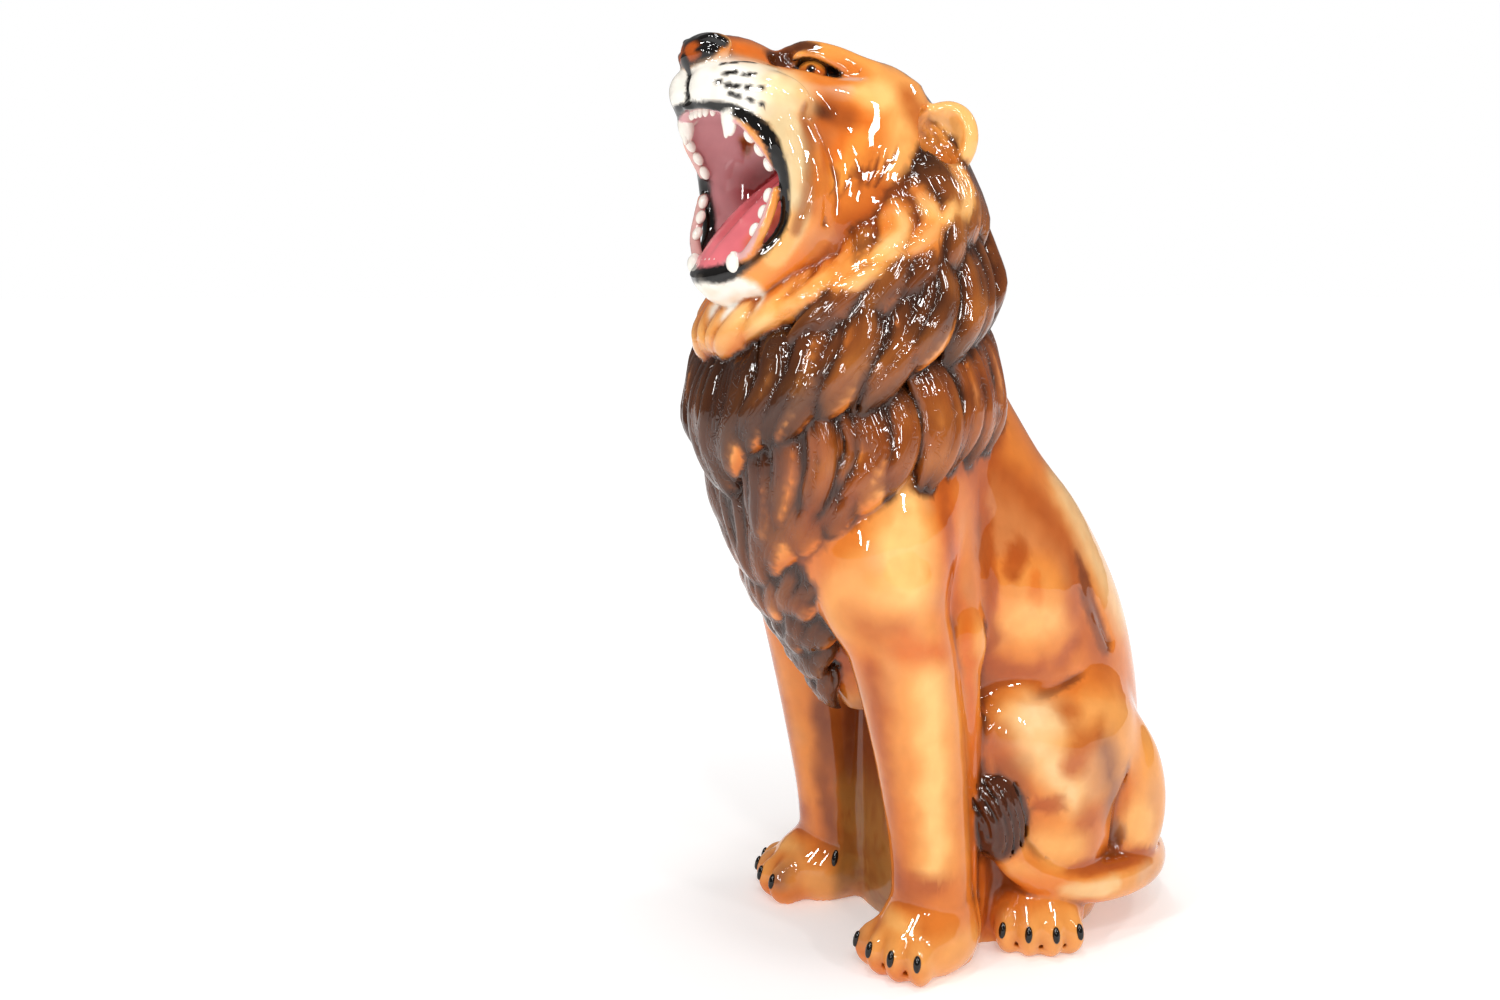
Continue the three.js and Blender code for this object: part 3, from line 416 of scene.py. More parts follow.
# %% [markdown]
# ## Head
# The muzzle points up and forward, and the mouth is a deep scoop with a rounded lip.
# %% Tables of the head
# Head, straight ahead before it is turned: shape, blend, sides.
HEAD = [
    # skull, cheek, temple, forehead
    [egg([0, -104, 765], [82, 88, 72]), 20, ONE],
    [egg([56, -140, 736], [36, 58, 76], [0, 0, -14]), 20, BOTH],
    [egg([52, -128, 792], [33, 50, 42], [0, 0, -20]), 16, BOTH],
    [egg([0, -130, 803], [50, 62, 41], [-6, 0, 0]), 14, ONE],
    # brow over the eye, and the cheekbone under it
    [limb([[18, -186, 838, 9], [32, -178, 838, 12], [50, -160, 832, 12], [66, -134, 819, 12]]), 8, BOTH],
    [limb([[32, -204, 812, 9], [48, -188, 808, 11], [64, -160, 800, 12], [72, -128, 792, 12]]), 10, BOTH],
    # bridge and sides of the snout
    [limb([[0, -140, 810, 34], [0, -190, 812, 29], [0, -228, 824, 28], [0, -256, 828, 25]]), 12, ONE],
    [limb([[40, -150, 780, 28], [36, -190, 794, 26], [28, -232, 804, 22]]), 12, BOTH],
    # whisker pad, its back end, nose
    [egg([29, -240, 800], [30, 48, 28], [-12, 0, -22]), 5, BOTH],
    [egg([54, -226, 796], [22, 30, 20], [-12, 0, -18]), 6, BOTH],
    [egg([15, -267, 804], [19, 18, 20]), 6, BOTH],
    [egg([0, -267, 836], [26, 19, 15], [16, 0, 0]), 8, ONE],
    # lower jaw
    [limb([[60, -146, 700, 36], [52, -192, 676, 28], [34, -226, 652, 24], [0, -242, 647, 24]]), 14, BOTH],
    # wall of the cheek, the fold beside it, and the lip in front
    [limb([[44, -232, 792, 18], [58, -214, 762, 22], [64, -202, 722, 24], [60, -202, 688, 24],
      [46, -220, 662, 18]], 3), 8, BOTH],
    [limb([[54, -194, 786, 11], [70, -178, 752, 11], [75, -172, 716, 11], [70, -176, 680, 11]]), 10, BOTH],
    [limb([[0, -277, 787, 7], [26, -269, 786, 7], [46, -250, 777, 7], [60, -230, 755, 8],
      [67, -218, 720, 9], [62, -218, 686, 9], [46, -236, 661, 9], [24, -256, 649, 9],
      [0, -263, 646, 9]], 3), 6, BOTH],
]
# The roaring mouth, cut out of the head.
MOUTH = [0, -262, 719, 61, 88, 69]
MOUTH_FULLNESS, MOUTH_BLEND = 2.6, 5
# Tongue, upper canine and lower canine.
TONGUE = limb([[0, -172, 722, 34], [0, -204, 694, 42], [0, -230, 670, 40], [0, -246, 656, 30]], 4, 1.9,
              [0, -0.7, 0.7])
UPPER_CANINE = limb([[36, -256, 792, 9], [37, -262, 780, 7.5], [34, -264, 763, 2]])
LOWER_CANINE = limb([[30, -243, 645, 8], [33, -251, 654, 6.5], [33, -256, 664, 3.5]])
EAR = egg([86, -70, 764], [32, 16, 37], [0, 26, 38])
# Inside the mouth, and the ears.
FACE = [[TONGUE, 5, ONE], [UPPER_CANINE, 2, BOTH], [LOWER_CANINE, 2, BOTH], [EAR, 6, BOTH]]
EAR_CUP = [egg([95, -82, 766], [22, 14, 28], [0, 26, 38]), 4, BOTH]
print(len(HEAD), "masses of the head,", len(FACE), "forms in the mouth and at the ears")

# %% Press the head together
for form, blend, sides in HEAD:
    put_head(form, blend, sides)
mouth_form = egg(MOUTH[:3], MOUTH[3:], (0, 0, 0), MOUTH_FULLNESS)
put_head(mouth_form, MOUTH_BLEND, ONE, scoop=True)
for form, blend, sides in FACE:
    put_head(form, blend, sides)
put_head(*EAR_CUP, scoop=True)
print("head pressed")

# %% [markdown]
# ## The mane
# Rows of locks are laid round the neck from the lowest to the highest, each over the one
# below. A lock leans, curls and tapers, and five strands lie along it, so that light catches
# every ridge. Their lengths, widths and curls vary irregularly, in the same way in each run.
# %% Tables of the mane
# How locks lean, against the angle from the front: forwards near the throat, back at the sides.
LEAN = [[0, 0], [16, -10], [45, -13], [75, -3], [105, 5], [180, 2]]
# Rows of locks, lowest first: locks on each side, first and last angle, half width, thickness,
# lift, curl, then the heights of the roots and of the tips against the angle from the front.
LOCKS = [
    [2, 4, 30, 9, 9, 10, 4, [[0, 282], [30, 286]], [[0, 238], [30, 244]]],
    [4, 0, 44, 10, 10, 9, 6, [[0, 316], [44, 322]], [[0, 262], [44, 276]]],
    [5, 0, 50, 12, 12, 8, 6, [[0, 352], [50, 366]], [[0, 288], [50, 308]]],
    [5, 0, 54, 15, 14, 6, 6, [[0, 400], [50, 414]], [[0, 316], [50, 340]]],
    [6, 0, 64, 18, 17, 8, 6, [[0, 466], [60, 492]], [[0, 346], [20, 356], [40, 382], [64, 420]]],
    [12, 20, 178, 20, 19, 7, 7, [[20, 500], [40, 530], [80, 560], [110, 600], [180, 620]],
      [[20, 380], [40, 410], [75, 450], [110, 478], [180, 488]]],
    [13, 0, 178, 21, 21, 10, 8, [[0, 570], [25, 590], [50, 622], [75, 655], [100, 694], [180, 740]],
      [[0, 446], [25, 466], [50, 500], [75, 536], [100, 572], [125, 600], [180, 616]]],
    [10, 50, 176, 21, 19, 8, 8, [[50, 690], [80, 730], [110, 772], [180, 806]],
      [[50, 566], [80, 606], [100, 644], [120, 668], [180, 700]]],
    [4, 108, 178, 20, 15, 0, 6, [[108, 796], [180, 824]], [[108, 730], [180, 752]]],
    [9, 0, 114, 19, 19, 9, 9, [[0, 632], [25, 646], [45, 668], [75, 712], [100, 748], [116, 768]],
      [[0, 570], [25, 578], [45, 598], [75, 640], [100, 676], [116, 694]]],
]
print(len(LOCKS), "rows,", 2 * sum(row[0] for row in LOCKS), "locks")

# %% Lay the locks
def between(rows, v, column=1):
    """A value read off a table, evenly between its rows."""
    p = np.array(rows, float)
    return float(np.interp(v, p[:, 0], p[:, column]))

def on_neck(angle, z, out):
    """Point on the skin of the neck: degrees from the front, height, distance outwards."""
    front, back, w = [between(NECK, z, i) for i in (1, 2, 3)]
    a, half = math.radians(angle), (back - front) / 2
    return np.array([(w + out) * math.sin(a), (front + back) / 2 - (half + out) * math.cos(a), z])

def vary(i, j, row):
    """An irregular number from -1 to 1, the same in each run."""
    v = math.sin(i * 127.1 + j * 311.7 + row * 74.7) * 43758.5453
    return 2 * (v - math.floor(v)) - 1

# Along a lock: how far down it, its share of the half width, and how far it stands out.
LOCK_SHAPE = (
    (0, 0.45, -12), (0.2, 0.9, -2), (0.45, 1.05, 3), (0.68, 0.98, 7), (0.86, 0.66, 7), (1.0, 0.14, 2))
# Across it: the strand's place, its share of the half width, and how much shorter it is.
STRANDS = (
    (-0.78, 0.27, 0.10), (-0.40, 0.33, 0.0), (0.0, 0.35, 0.05), (0.40, 0.33, 0.0), (0.78, 0.27, 0.12))
CORE_DEPTH = 0.32
LOCK_BULGE, LOCK_ROUNDING = 0.54, 0.5
STRAND_WAVE, STRAND_CURL, STRAND_CLOSING = 0.24, 0.34, 0.62
laid = []

def lay_lock(row, number, side):
    """Press one lock, a broad core and its strands, and keep the strands' lines for painting."""
    count, first, last, width, thick, lift, curl, roots, tips = LOCKS[row]
    seed = number + (50 if side < 0 else 0)
    u = [vary(seed, j, row) for j in range(5)]
    angle = first + (last - first) * (number + 0.5) / count + u[1] * 2
    root, tip = between(roots, angle) + u[4] * 8, between(tips, angle) + u[0] * 9
    lean, w = between(LEAN, angle), width * (1 + 0.16 * u[2])
    bend = curl * (1 + 0.3 * u[3]) * min(1, angle / 30)
    def at(t, part, out, across=0.0):
        z = root + (tip - root) * t
        a = angle + lean * t + bend * math.sin(math.pi * t * 1.15)
        a += math.degrees(across * w / between(NECK, z, 3))
        return (*on_neck(side * a, z, lift + out), w * part)
    middle = side * (angle + lean * 0.5 + bend * 0.8)
    facing = on_neck(middle, (root + tip) / 2, 10) - on_neck(middle, (root + tip) / 2, 0)
    facing[2] = 1.0
    core = [at(t, part, out - thick * CORE_DEPTH) for t, part, out in LOCK_SHAPE]
    put(limb(core, 4, w / thick, facing, 0.75), 2)
    for q, (across, part, short) in enumerate(STRANDS):
        v = [vary(seed * 7 + q, j, row + 20) for j in range(4)]
        rows = []
        for t, along, out in LOCK_SHAPE:
            s = (across + 0.1 * v[3]) * (1 - STRAND_CLOSING * t * t)
            s += STRAND_WAVE * v[0] * math.sin(math.pi * t)
            s += STRAND_CURL * math.sin(2 * math.pi * t) * t * (1 + u[3])
            dome = thick * (LOCK_BULGE - LOCK_ROUNDING * across * across) + 1.5 * v[2]
            dome *= min(1, (1 - t) * 2.4 + 0.2)
            rows.append(at(t * (1 - 0.6 * short + 0.07 * v[1]), along ** 0.6 * (part + 0.08 * v[2]),
                           out + dome - w * part * 0.5, s))
        put(limb(rows, 3), 2.2)
        laid.append((row, u[2], across, smooth_line(rows, 3)))

for row, (locks_a_side, *_) in enumerate(LOCKS):
    for number in range(locks_a_side):
        for side in BOTH:
            lay_lock(row, number, side)
print(len(laid), "strands laid")

# %% [markdown]
# ## Fine forms
# What the plain solid leaves out: sockets and lids of the eyes, nostrils, the groove under the
# nose, folds and hair strokes in the cheeks, gums, the groove of the tongue, a finer cup of the
# ear, grooves of the tuft, and the creases between the toes.
# %% Fine forms, added and scooped
SOCKET = limb([
    [30, -200, 822, 2.5], [36, -189, 824, 7.5], [42, -181, 823, 9], [48, -174, 821, 7], [56, -165, 818, 2]])
UPPER_GUM = limb([
    [20, -266, 789, 4], [40, -259, 781, 4.5], [54, -250, 766, 4.5], [58, -241, 754, 4.5], [60, -231, 740, 4]])
LOWER_GUM = limb([
    [18, -256, 653, 5], [38, -249, 661, 5], [54, -243, 680, 5], [59, -236, 700, 5], [61, -231, 717, 4]])
EAR_HOLLOW = egg([97, -84, 767], [27, 13, 32], [0, 26, 38])
# Forms of the head: shape, blend, sides.
ADDED = [
    # upper and lower lid, and the brow's fold over them
    [limb([[29, -201, 827, 2.5], [38, -190, 836, 3.5], [47, -178, 836, 3.6], [57, -165, 828, 3.2],
           [68, -150, 819, 1.5]]), 3, BOTH],
    [limb([[31, -203, 820, 2.5], [43, -194, 813, 3], [54, -180, 810, 3], [63, -163, 814, 2.5]]), 3, BOTH],
    # wing of the nostril
    [limb([[14, -274, 844, 4], [21, -268, 846, 4.5], [27, -259, 842, 4.5], [26, -260, 835, 3.5]]), 5, BOTH],
    # gums that carry the teeth
    [UPPER_GUM, 5, BOTH],
    [LOWER_GUM, 5, BOTH],
]
SCOOPED = [
    # hollow before the eye, and the groove under the nose
    [egg([27, -203, 832], [7, 10, 6]), 7, BOTH],
    [limb([[0, -290, 824, 2], [0, -288, 812, 2.2], [0, -286, 797, 2.5]]), 3, ONE],
    # nostril
    [limb([[9, -290, 836, 4.5], [17, -282, 842, 5], [24, -274, 842, 3.5], [29, -266, 837, 2]]), 2.5, BOTH],
    # folds of the cheek behind the lip
    [limb([[76, -224, 784, 1], [82, -218, 772, 2.5], [88, -214, 750, 3], [88, -213, 722, 3],
           [82, -218, 696, 1.5]]), 5, BOTH],
    [limb([[74, -186, 790, 1.5], [86, -187, 764, 3], [92, -190, 740, 3], [90, -196, 712, 2],
           [84, -196, 690, 1]]), 6, BOTH],
    # the ear's cup, finer
    [EAR_HOLLOW, 3, BOTH],
    # groove of the tongue
    [limb([[0, -186, 738, 3], [0, -216, 712, 4], [0, -246, 684, 3], [0, -262, 668, 1]]), 8, ONE],
]
# Creases between the toes: their angles in the foot, then rows of how far past the toes' middle
# they reach, height and radius.
TOE_GAPS = (-20.5, 0, 20.5)
TOE_CREASE = [[-28, 54, 1.5], [-8, 46, 3.6], [7, 31, 4], [14, 14, 3]]
CHEEK_HAIRS = 7
# Grooves of the tuft: height in shares of the half height, slip backwards, radius.
TUFT_GROOVE = ((0.8, -9, 1.5), (0.45, -4, 3.2), (0.0, 3, 3.6), (-0.45, 7, 3.2), (-0.8, 6, 1.5))
TUFT_GROOVES, TUFT_STEP = 7, 9
print(len(ADDED), "forms to add and", len(SCOOPED), "to scoop out")

# %% Press the fine forms
put_head(SOCKET, 3, BOTH, scoop=True)
for form, blend, sides in ADDED:
    put_head(form, blend, sides)
for form, blend, sides in SCOOPED:
    put_head(form, blend, sides, scoop=True)
# Hair strokes in the cheek, from front to back, each a little off its place.
for k in range(CHEEK_HAIRS):
    wild = [2 * (v - math.floor(v)) - 1 for v in (k * 0.618, k * 0.414 + 0.2, k * 0.732 + 0.5)]
    y, far = -182 + 8.5 * k + 2 * wild[0], 86 + 1.8 * k
    top, end = 752 + 3 * k + 9 * wild[1], 712 + 3 * k + 8 * wild[2]
    hair = [[far + 2, y + 9, top, 0.5], [far + 1, y + 4, top * 0.65 + end * 0.35, 1.4],
            [far, y - 1, top * 0.3 + end * 0.7, 1.6], [far - 1, y - 9, end, 0.5]]
    put_head(limb(hair), 2.5, BOTH, scoop=True)
toe_creases = []
for *_, heel, fan, reach, sides in PAWS:
    for a in TOE_GAPS:
        t = math.radians(a + fan)
        s, c = math.sin(t), math.cos(t)
        out = [(reach + past, z, r) for past, z, r in TOE_CREASE]
        line = [[heel[0] + s * o, heel[1] - c * o, z, r] for o, z, r in out]
        toe_creases.append((limb(line), sides))
        put(limb(line), 4, sides, scoop=True)
for k in range(TUFT_GROOVES):
    line = []
    for share, slip, r in TUFT_GROOVE:
        y = -29 + TUFT_STEP * k + slip
        across = min(0.99, math.hypot(share, (y + 2) / 30))
        line.append([108.5 + 25.5 * math.sqrt(1 - across ** 2), y, 140 + 44 * share, r])
    put(limb(line), 1.5, LEFT, scoop=True)
print("pressed, with", CHEEK_HAIRS, "hairs in each cheek and", len(toe_creases), "creases of the toes")

# %% [markdown]
# ## From clay to skin
# Every cell of the grid that the skin crosses gets one point, the middle of its crossings, and
# neighbouring cells are joined across each crossed edge of the grid. The foot is then set flat.
# %% Skin of the clay
def skin(field):
    """Points and four-sided faces of the surface where the field is nought."""
    within = field < 0
    crossed = []
    for axis in range(3):
        a = [slice(None)] * 3
        b = [slice(None)] * 3
        a[axis], b[axis] = slice(0, -1), slice(1, None)
        crossed.append((within[tuple(a)] != within[tuple(b)], tuple(a), tuple(b)))
    cells = np.array(field.shape) - 1
    mixed = np.zeros(cells, bool)
    for axis, (mask, a, b) in enumerate(crossed):
        others = [i for i in range(3) if i != axis]
        for du in (0, 1):
            for dv in (0, 1):
                pick = [slice(None)] * 3
                pick[others[0]] = slice(du, du + cells[others[0]])
                pick[others[1]] = slice(dv, dv + cells[others[1]])
                mixed |= mask[tuple(pick)]
    index = np.full(cells, -1, np.int32)
    where = np.argwhere(mixed)
    index[mixed] = np.arange(len(where), dtype=np.int32)
    total, faces = np.zeros((4, len(where))), []
    for axis, (mask, a, b) in enumerate(crossed):
        spots = np.argwhere(mask)
        fa = field[a][mask]
        fb = field[b][mask]
        cross = spots.astype(float)
        cross[:, axis] += fa / (fa - fb)
        u, v = [(1, 2), (2, 0), (0, 1)][axis]
        corner = []
        for du, dv in ((-1, -1), (0, -1), (0, 0), (-1, 0)):
            c = spots.copy()
            c[:, u] += du
            c[:, v] += dv
            corner.append(index[tuple(np.clip(c, 0, cells - 1).T)])
            for i, weight in enumerate((*cross.T, None)):
                total[i] += np.bincount(corner[-1], weight, len(where))
        quad = np.stack(corner, 1)
        faces.append(np.where((fa < 0)[:, None], quad, quad[:, ::-1]))
    return (total[:3] / total[3]).T * CELL + BLOCK_LOW, np.vstack(faces)

block = np.maximum(block, -rulers[2])
points, quads = skin(block)
print(len(points), "points,", len(quads), "faces")

# %% [markdown]
# ## A Blender mesh of it
# The grid gives far more faces than the flat parts need, so a Decimate modifier joins them
# where the surface is smooth. Then long edges, and all edges of the face, are halved again, as
# the painting needs points to sit on, and every point is set back exactly on the clay's skin.
# The sculptor's millimetres are kept until the painting is done.
# %% Mesh of the body
SIDEWAYS = 4.0
FORWARD = 16.0
TRIANGLES, MOST = ((106000, 164000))

def only(obj):
    """Select one object alone and make it the active one."""
    deselect()
    obj.select_set(True)
    bpy.context.view_layer.objects.active = obj

def largest(points, quads):
    """The largest closed shell of several, by spreading the lowest number over each."""
    label = np.arange(len(points))
    pairs = np.vstack([quads[:, [0, 1]], quads[:, [1, 2]], quads[:, [2, 3]], quads[:, [3, 0]]])
    while True:
        low = np.minimum(label[pairs[:, 0]], label[pairs[:, 1]])
        new = label.copy()
        np.minimum.at(new, pairs[:, 0], low)
        np.minimum.at(new, pairs[:, 1], low)
        new = new[new]
        if (new == label).all():
            break
        label = new
    main = np.bincount(label).argmax()
    keep = label == main
    number = np.cumsum(keep) - 1
    return points[keep], number[quads[keep[quads[:, 0]]]]

points, quads = largest(points, quads)
mesh = bpy.data.meshes.new("glazed lion")
mesh.from_pydata(points.tolist(), [], quads.tolist())
lion = bpy.data.objects.new("glazed_lion", mesh)
bpy.context.scene.collection.objects.link(lion)
print(len(mesh.vertices), "vertices in one shell")

# %% Fewer faces where it is smooth
only(lion)
bpy.ops.object.modifier_add(type="DECIMATE")
lion.modifiers[-1].ratio = TRIANGLES / (2 * len(quads))
bpy.ops.object.modifier_apply(modifier=lion.modifiers[-1].name)
print(len(lion.data.polygons), "faces left")

def triangles():
    """How many triangles the lion's faces come to."""
    return len(lion.data.loops) - 2 * len(lion.data.polygons)

# %% More points where it is painted finely
def read(name, data, width):
    """One property of all points or edges, with a row of three decimals or two whole numbers each."""
    out = np.empty(len(data) * width, np.float64 if width == 3 else np.int32)
    data.foreach_get(name, out)
    return out.reshape(-1, width)

def head_place(p):
    """Places of the body as places of a head that looks straight ahead."""
    c, s = math.cos(HEAD_TURN), math.sin(HEAD_TURN)
    dx, dy = p[:, 0] - HEAD_PIVOT[0] - HEAD_SHIFT, p[:, 1] - HEAD_PIVOT[1]
    return np.stack([c * dx + s * dy + HEAD_PIVOT[0], c * dy - s * dx + HEAD_PIVOT[1], p[:, 2]], 1)

def longest(p):
    """The longest edge wanted at a place, in millimetres."""
    h = head_place(p)
    lip = (h[:, 1] < -190) & (h[:, 2] > 610)
    muzzle = (h[:, 1] < -150) & (h[:, 2] > 775)
    claws = (p[:, 2] < 60) & (p[:, 1] < 60)
    out = np.full(len(p), 8.0)
    out[p[:, 2] > 240] = 6.5
    out[claws] = 5.0
    out[lip] = 3.4
    out[muzzle] = 2.6
    return out

FEW_EDGES = 200
for turn in range(4):
    mesh = lion.data
    p = read("co", mesh.vertices, 3)
    edges = read("vertices", mesh.edges, 2)
    length = np.linalg.norm(p[edges[:, 0]] - p[edges[:, 1]], axis=1)
    excess = length / longest((p[edges[:, 0]] + p[edges[:, 1]]) / 2)
    room_left = (MOST - triangles()) // 2
    if (excess > 1).sum() < FEW_EDGES or room_left < FEW_EDGES:
        break
    split = excess > max(1.0, np.sort(excess)[-min(room_left, len(excess))])
    bpy.ops.object.mode_set(mode="EDIT")
    bpy.ops.mesh.select_mode(type="EDGE")
    bpy.ops.mesh.select_all(action="DESELECT")
    bpy.ops.object.mode_set(mode="OBJECT")
    mesh.edges.foreach_set("select", split)
    bpy.ops.object.mode_set(mode="EDIT")
    bpy.ops.mesh.subdivide(number_cuts=1)
    bpy.ops.mesh.select_all(action="SELECT")
    bpy.ops.mesh.quads_convert_to_tris(quad_method="SHORTEST_DIAGONAL", ngon_method="BEAUTY")
    bpy.ops.object.mode_set(mode="OBJECT")
    print("halved", int(split.sum()), "edges:", triangles(), "triangles")

# %% Set every point back on the skin
def between_corners(g, value_at, shape=lambda f: f):
    """Values at places inside a grid, mixed from the eight grid points round each."""
    i = np.floor(g).astype(int)
    f = shape(g - i)
    out = np.zeros(len(g))
    for corner in np.ndindex(2, 2, 2):
        share = np.where(corner, f, 1 - f)
        out += share[:, 0] * share[:, 1] * share[:, 2] * value_at(*(i + corner).T)
    return out

def clay_at(p):
    """The clay's distance at any place."""
    return between_corners(np.clip((p - BLOCK_LOW) / CELL, 0, size - 1.001), lambda x, y, z: block[x, y, z])

def slope_at(p, reach=1.0):
    """The way in which the clay's distance grows at any place, and how fast."""
    steps = np.eye(3) * reach
    return np.stack([(clay_at(p + s) - clay_at(p - s)) / (2 * reach) for s in steps], 1)

p = read("co", lion.data.vertices, 3)
LONGEST_MOVE = 0.8
FOOT = 0.8
for turn in range(3):
    g = slope_at(p)
    move = -clay_at(p)[:, None] * g / np.maximum((g ** 2).sum(1), 0.2)[:, None]
    far = np.linalg.norm(move, axis=1)
    p += move * np.minimum(1, LONGEST_MOVE / np.maximum(far, 1e-6))[:, None]
p[:, 2] = np.where(p[:, 2] < FOOT, 0.0, p[:, 2])
lion.data.vertices.foreach_set("co", p.ravel())
lion.data.update()
print(len(p), "points on the skin, off by", round(float(np.abs(clay_at(p)).mean()), 3), "mm")

# %% [markdown]
# ## Painting
# The figure is airbrushed before it is glazed: amber all over, cream where the body swells, rust
# in the hollows, then single strokes. The cream on the swells is partly painted light, and the
# dark in the hollows and creases partly painted shade; some strokes are painted highlights, painted
# shade and a painted reflection as well. Each point of the mesh carries its colour. A stroke is a
# form again: full colour inside it, fading over its softness. Swells and hollows are found by how
# far a point stands out from the smoothed surface round it.
# %% Tints
TINTS = {
    "amber": (216, 118, 42), "gold": (240, 156, 66), "cream": (253, 194, 116), "pale": (248, 218, 166),
    "orange": (214, 102, 26), "rust": (170, 76, 20), "brown": (124, 58, 22), "umber": (78, 36, 14),
    "dark": (40, 19, 8), "black": (10, 8, 7), "white": (243, 237, 226), "beige": (222, 194, 146),
    "olive": (150, 100, 48), "mauve": (176, 128, 112), "lilac": (206, 176, 172), "plum": (120, 72, 58),
    "tongue": (236, 120, 128), "palate": (216, 160, 164), "throat": (120, 22, 24), "gum": (216, 166, 160),
}
tints = {name: np.array(rgb) / 255.0 for name, rgb in TINTS.items()}

def ease(v):
    """From 0 to 1 with soft ends."""
    v = np.clip(v, 0, 1)
    return v * v * (3 - 2 * v)

LATTICE = 24
def blotches(p, scale, seed):
    """Soft irregular patches between 0 and 1, the same for the same seed."""
    lattice = np.random.default_rng(seed).random((LATTICE, LATTICE, LATTICE))
    def value_at(*xyz):
        return lattice[tuple(i % LATTICE for i in xyz)]
    return between_corners(p / np.array(scale) + 10 * LATTICE, value_at, ease)

print(len(tints), "tints mixed")

# %% How far each point stands out
edges = read("vertices", lion.data.edges, 2)
outward = read("normal", lion.data.vertices, 3)
ends_a, ends_b = edges.T
ways = np.bincount(ends_a, minlength=len(p)) + np.bincount(ends_b, minlength=len(p))

def spread(values, times):
    """Each point's values mixed with those of its neighbours, again and again."""
    v = values.astype(float).copy()
    for turn in range(times):
        total = [np.bincount(ends_a, c[ends_b], len(p)) + np.bincount(ends_b, c[ends_a], len(p))
                 for c in v.T]
        v = 0.4 * v + 0.6 * np.stack(total, 1) / ways[:, None]
    return v

ridge = ((p - spread(p, 3)) * outward).sum(1)
fold = ((p - spread(p, 16)) * outward).sum(1)
swell = spread(((p - spread(p, 90)) * outward).sum(1)[:, None], 6)[:, 0]
for name, values in (("ridges", ridge), ("folds", fold), ("swells", swell)):
    print(name, "to", round(float(np.percentile(values, 98)), 2), "mm")

# %% Brushes
paint = np.tile(tints["amber"], (len(p), 1))
head = head_place(p)

def wash(share, tint):
    """Lay a tint over the whole figure, each point with its own share."""
    global paint
    paint = paint + (tints[tint] - paint) * np.clip(share, 0, 1)[:, None]

def inside(form, soft, sides, places):
    """1 within a form, fading to 0 at a distance from it."""
    distance, low, high = form
    q = places.copy()
    if len(sides) == 2:
        q[:, 0] = np.abs(q[:, 0])
    elif sides[0] < 0:
        q[:, 0] = -q[:, 0]
    here = ((q > low - soft) & (q < high + soft)).all(1)
    out = np.zeros(len(q))
    x, y, z = q[here].astype(F).T
    share = np.clip(1 - distance(x, y, z) / soft, 0, 1)
    out[here] = ease(share) if soft < 10 else share ** 1.4
    return out

rough = 0.85 + 0.3 * blotches(p, 9, 3)
wander = np.stack([blotches(p, 26, s) + 0.4 * blotches(p, 9, s + 3) - 0.7 for s in (21, 22, 23)], 1)

def stroke(rows, places, unsteady=0.0):
    """Strokes laid one after another by a hand that is more or less unsteady."""
    for form, tint, soft, strength, sides in rows:
        wash(inside(form, soft, sides, places + wander * unsteady) * strength * rough, tint)

print("an unsteady stroke strays by", round(float(np.abs(wander).mean()), 2), "of its unsteadiness")

# %% Ground colours of the body
cloud = blotches(p, 60, 1)
# Cream on the swells, partly airbrush and partly painted light; rust in the hollows, brown in the folds and
# umber in the creases, partly airbrush and partly painted shade.
wash(ease((swell - 1.0) / 5.0) * 0.5, "cream")
wash(ease((cloud - 0.55) / 0.3) * 0.35, "gold")
wash(ease((-swell - 0.3) / 3.2) * 0.8, "rust")
high_up = ease((p[:, 2] - 24) / 24)
wash(ease((-fold - 0.35) / 1.4) * 0.45 * high_up, "brown")
wash(ease((-ridge - 0.12) / 0.5) * 0.3 * high_up, "umber")
wash(ease((blotches(p, 45, 2) - 0.62) / 0.25) * 0.3, "mauve")
print("mean colour of the ground", paint.mean(0).round(3))

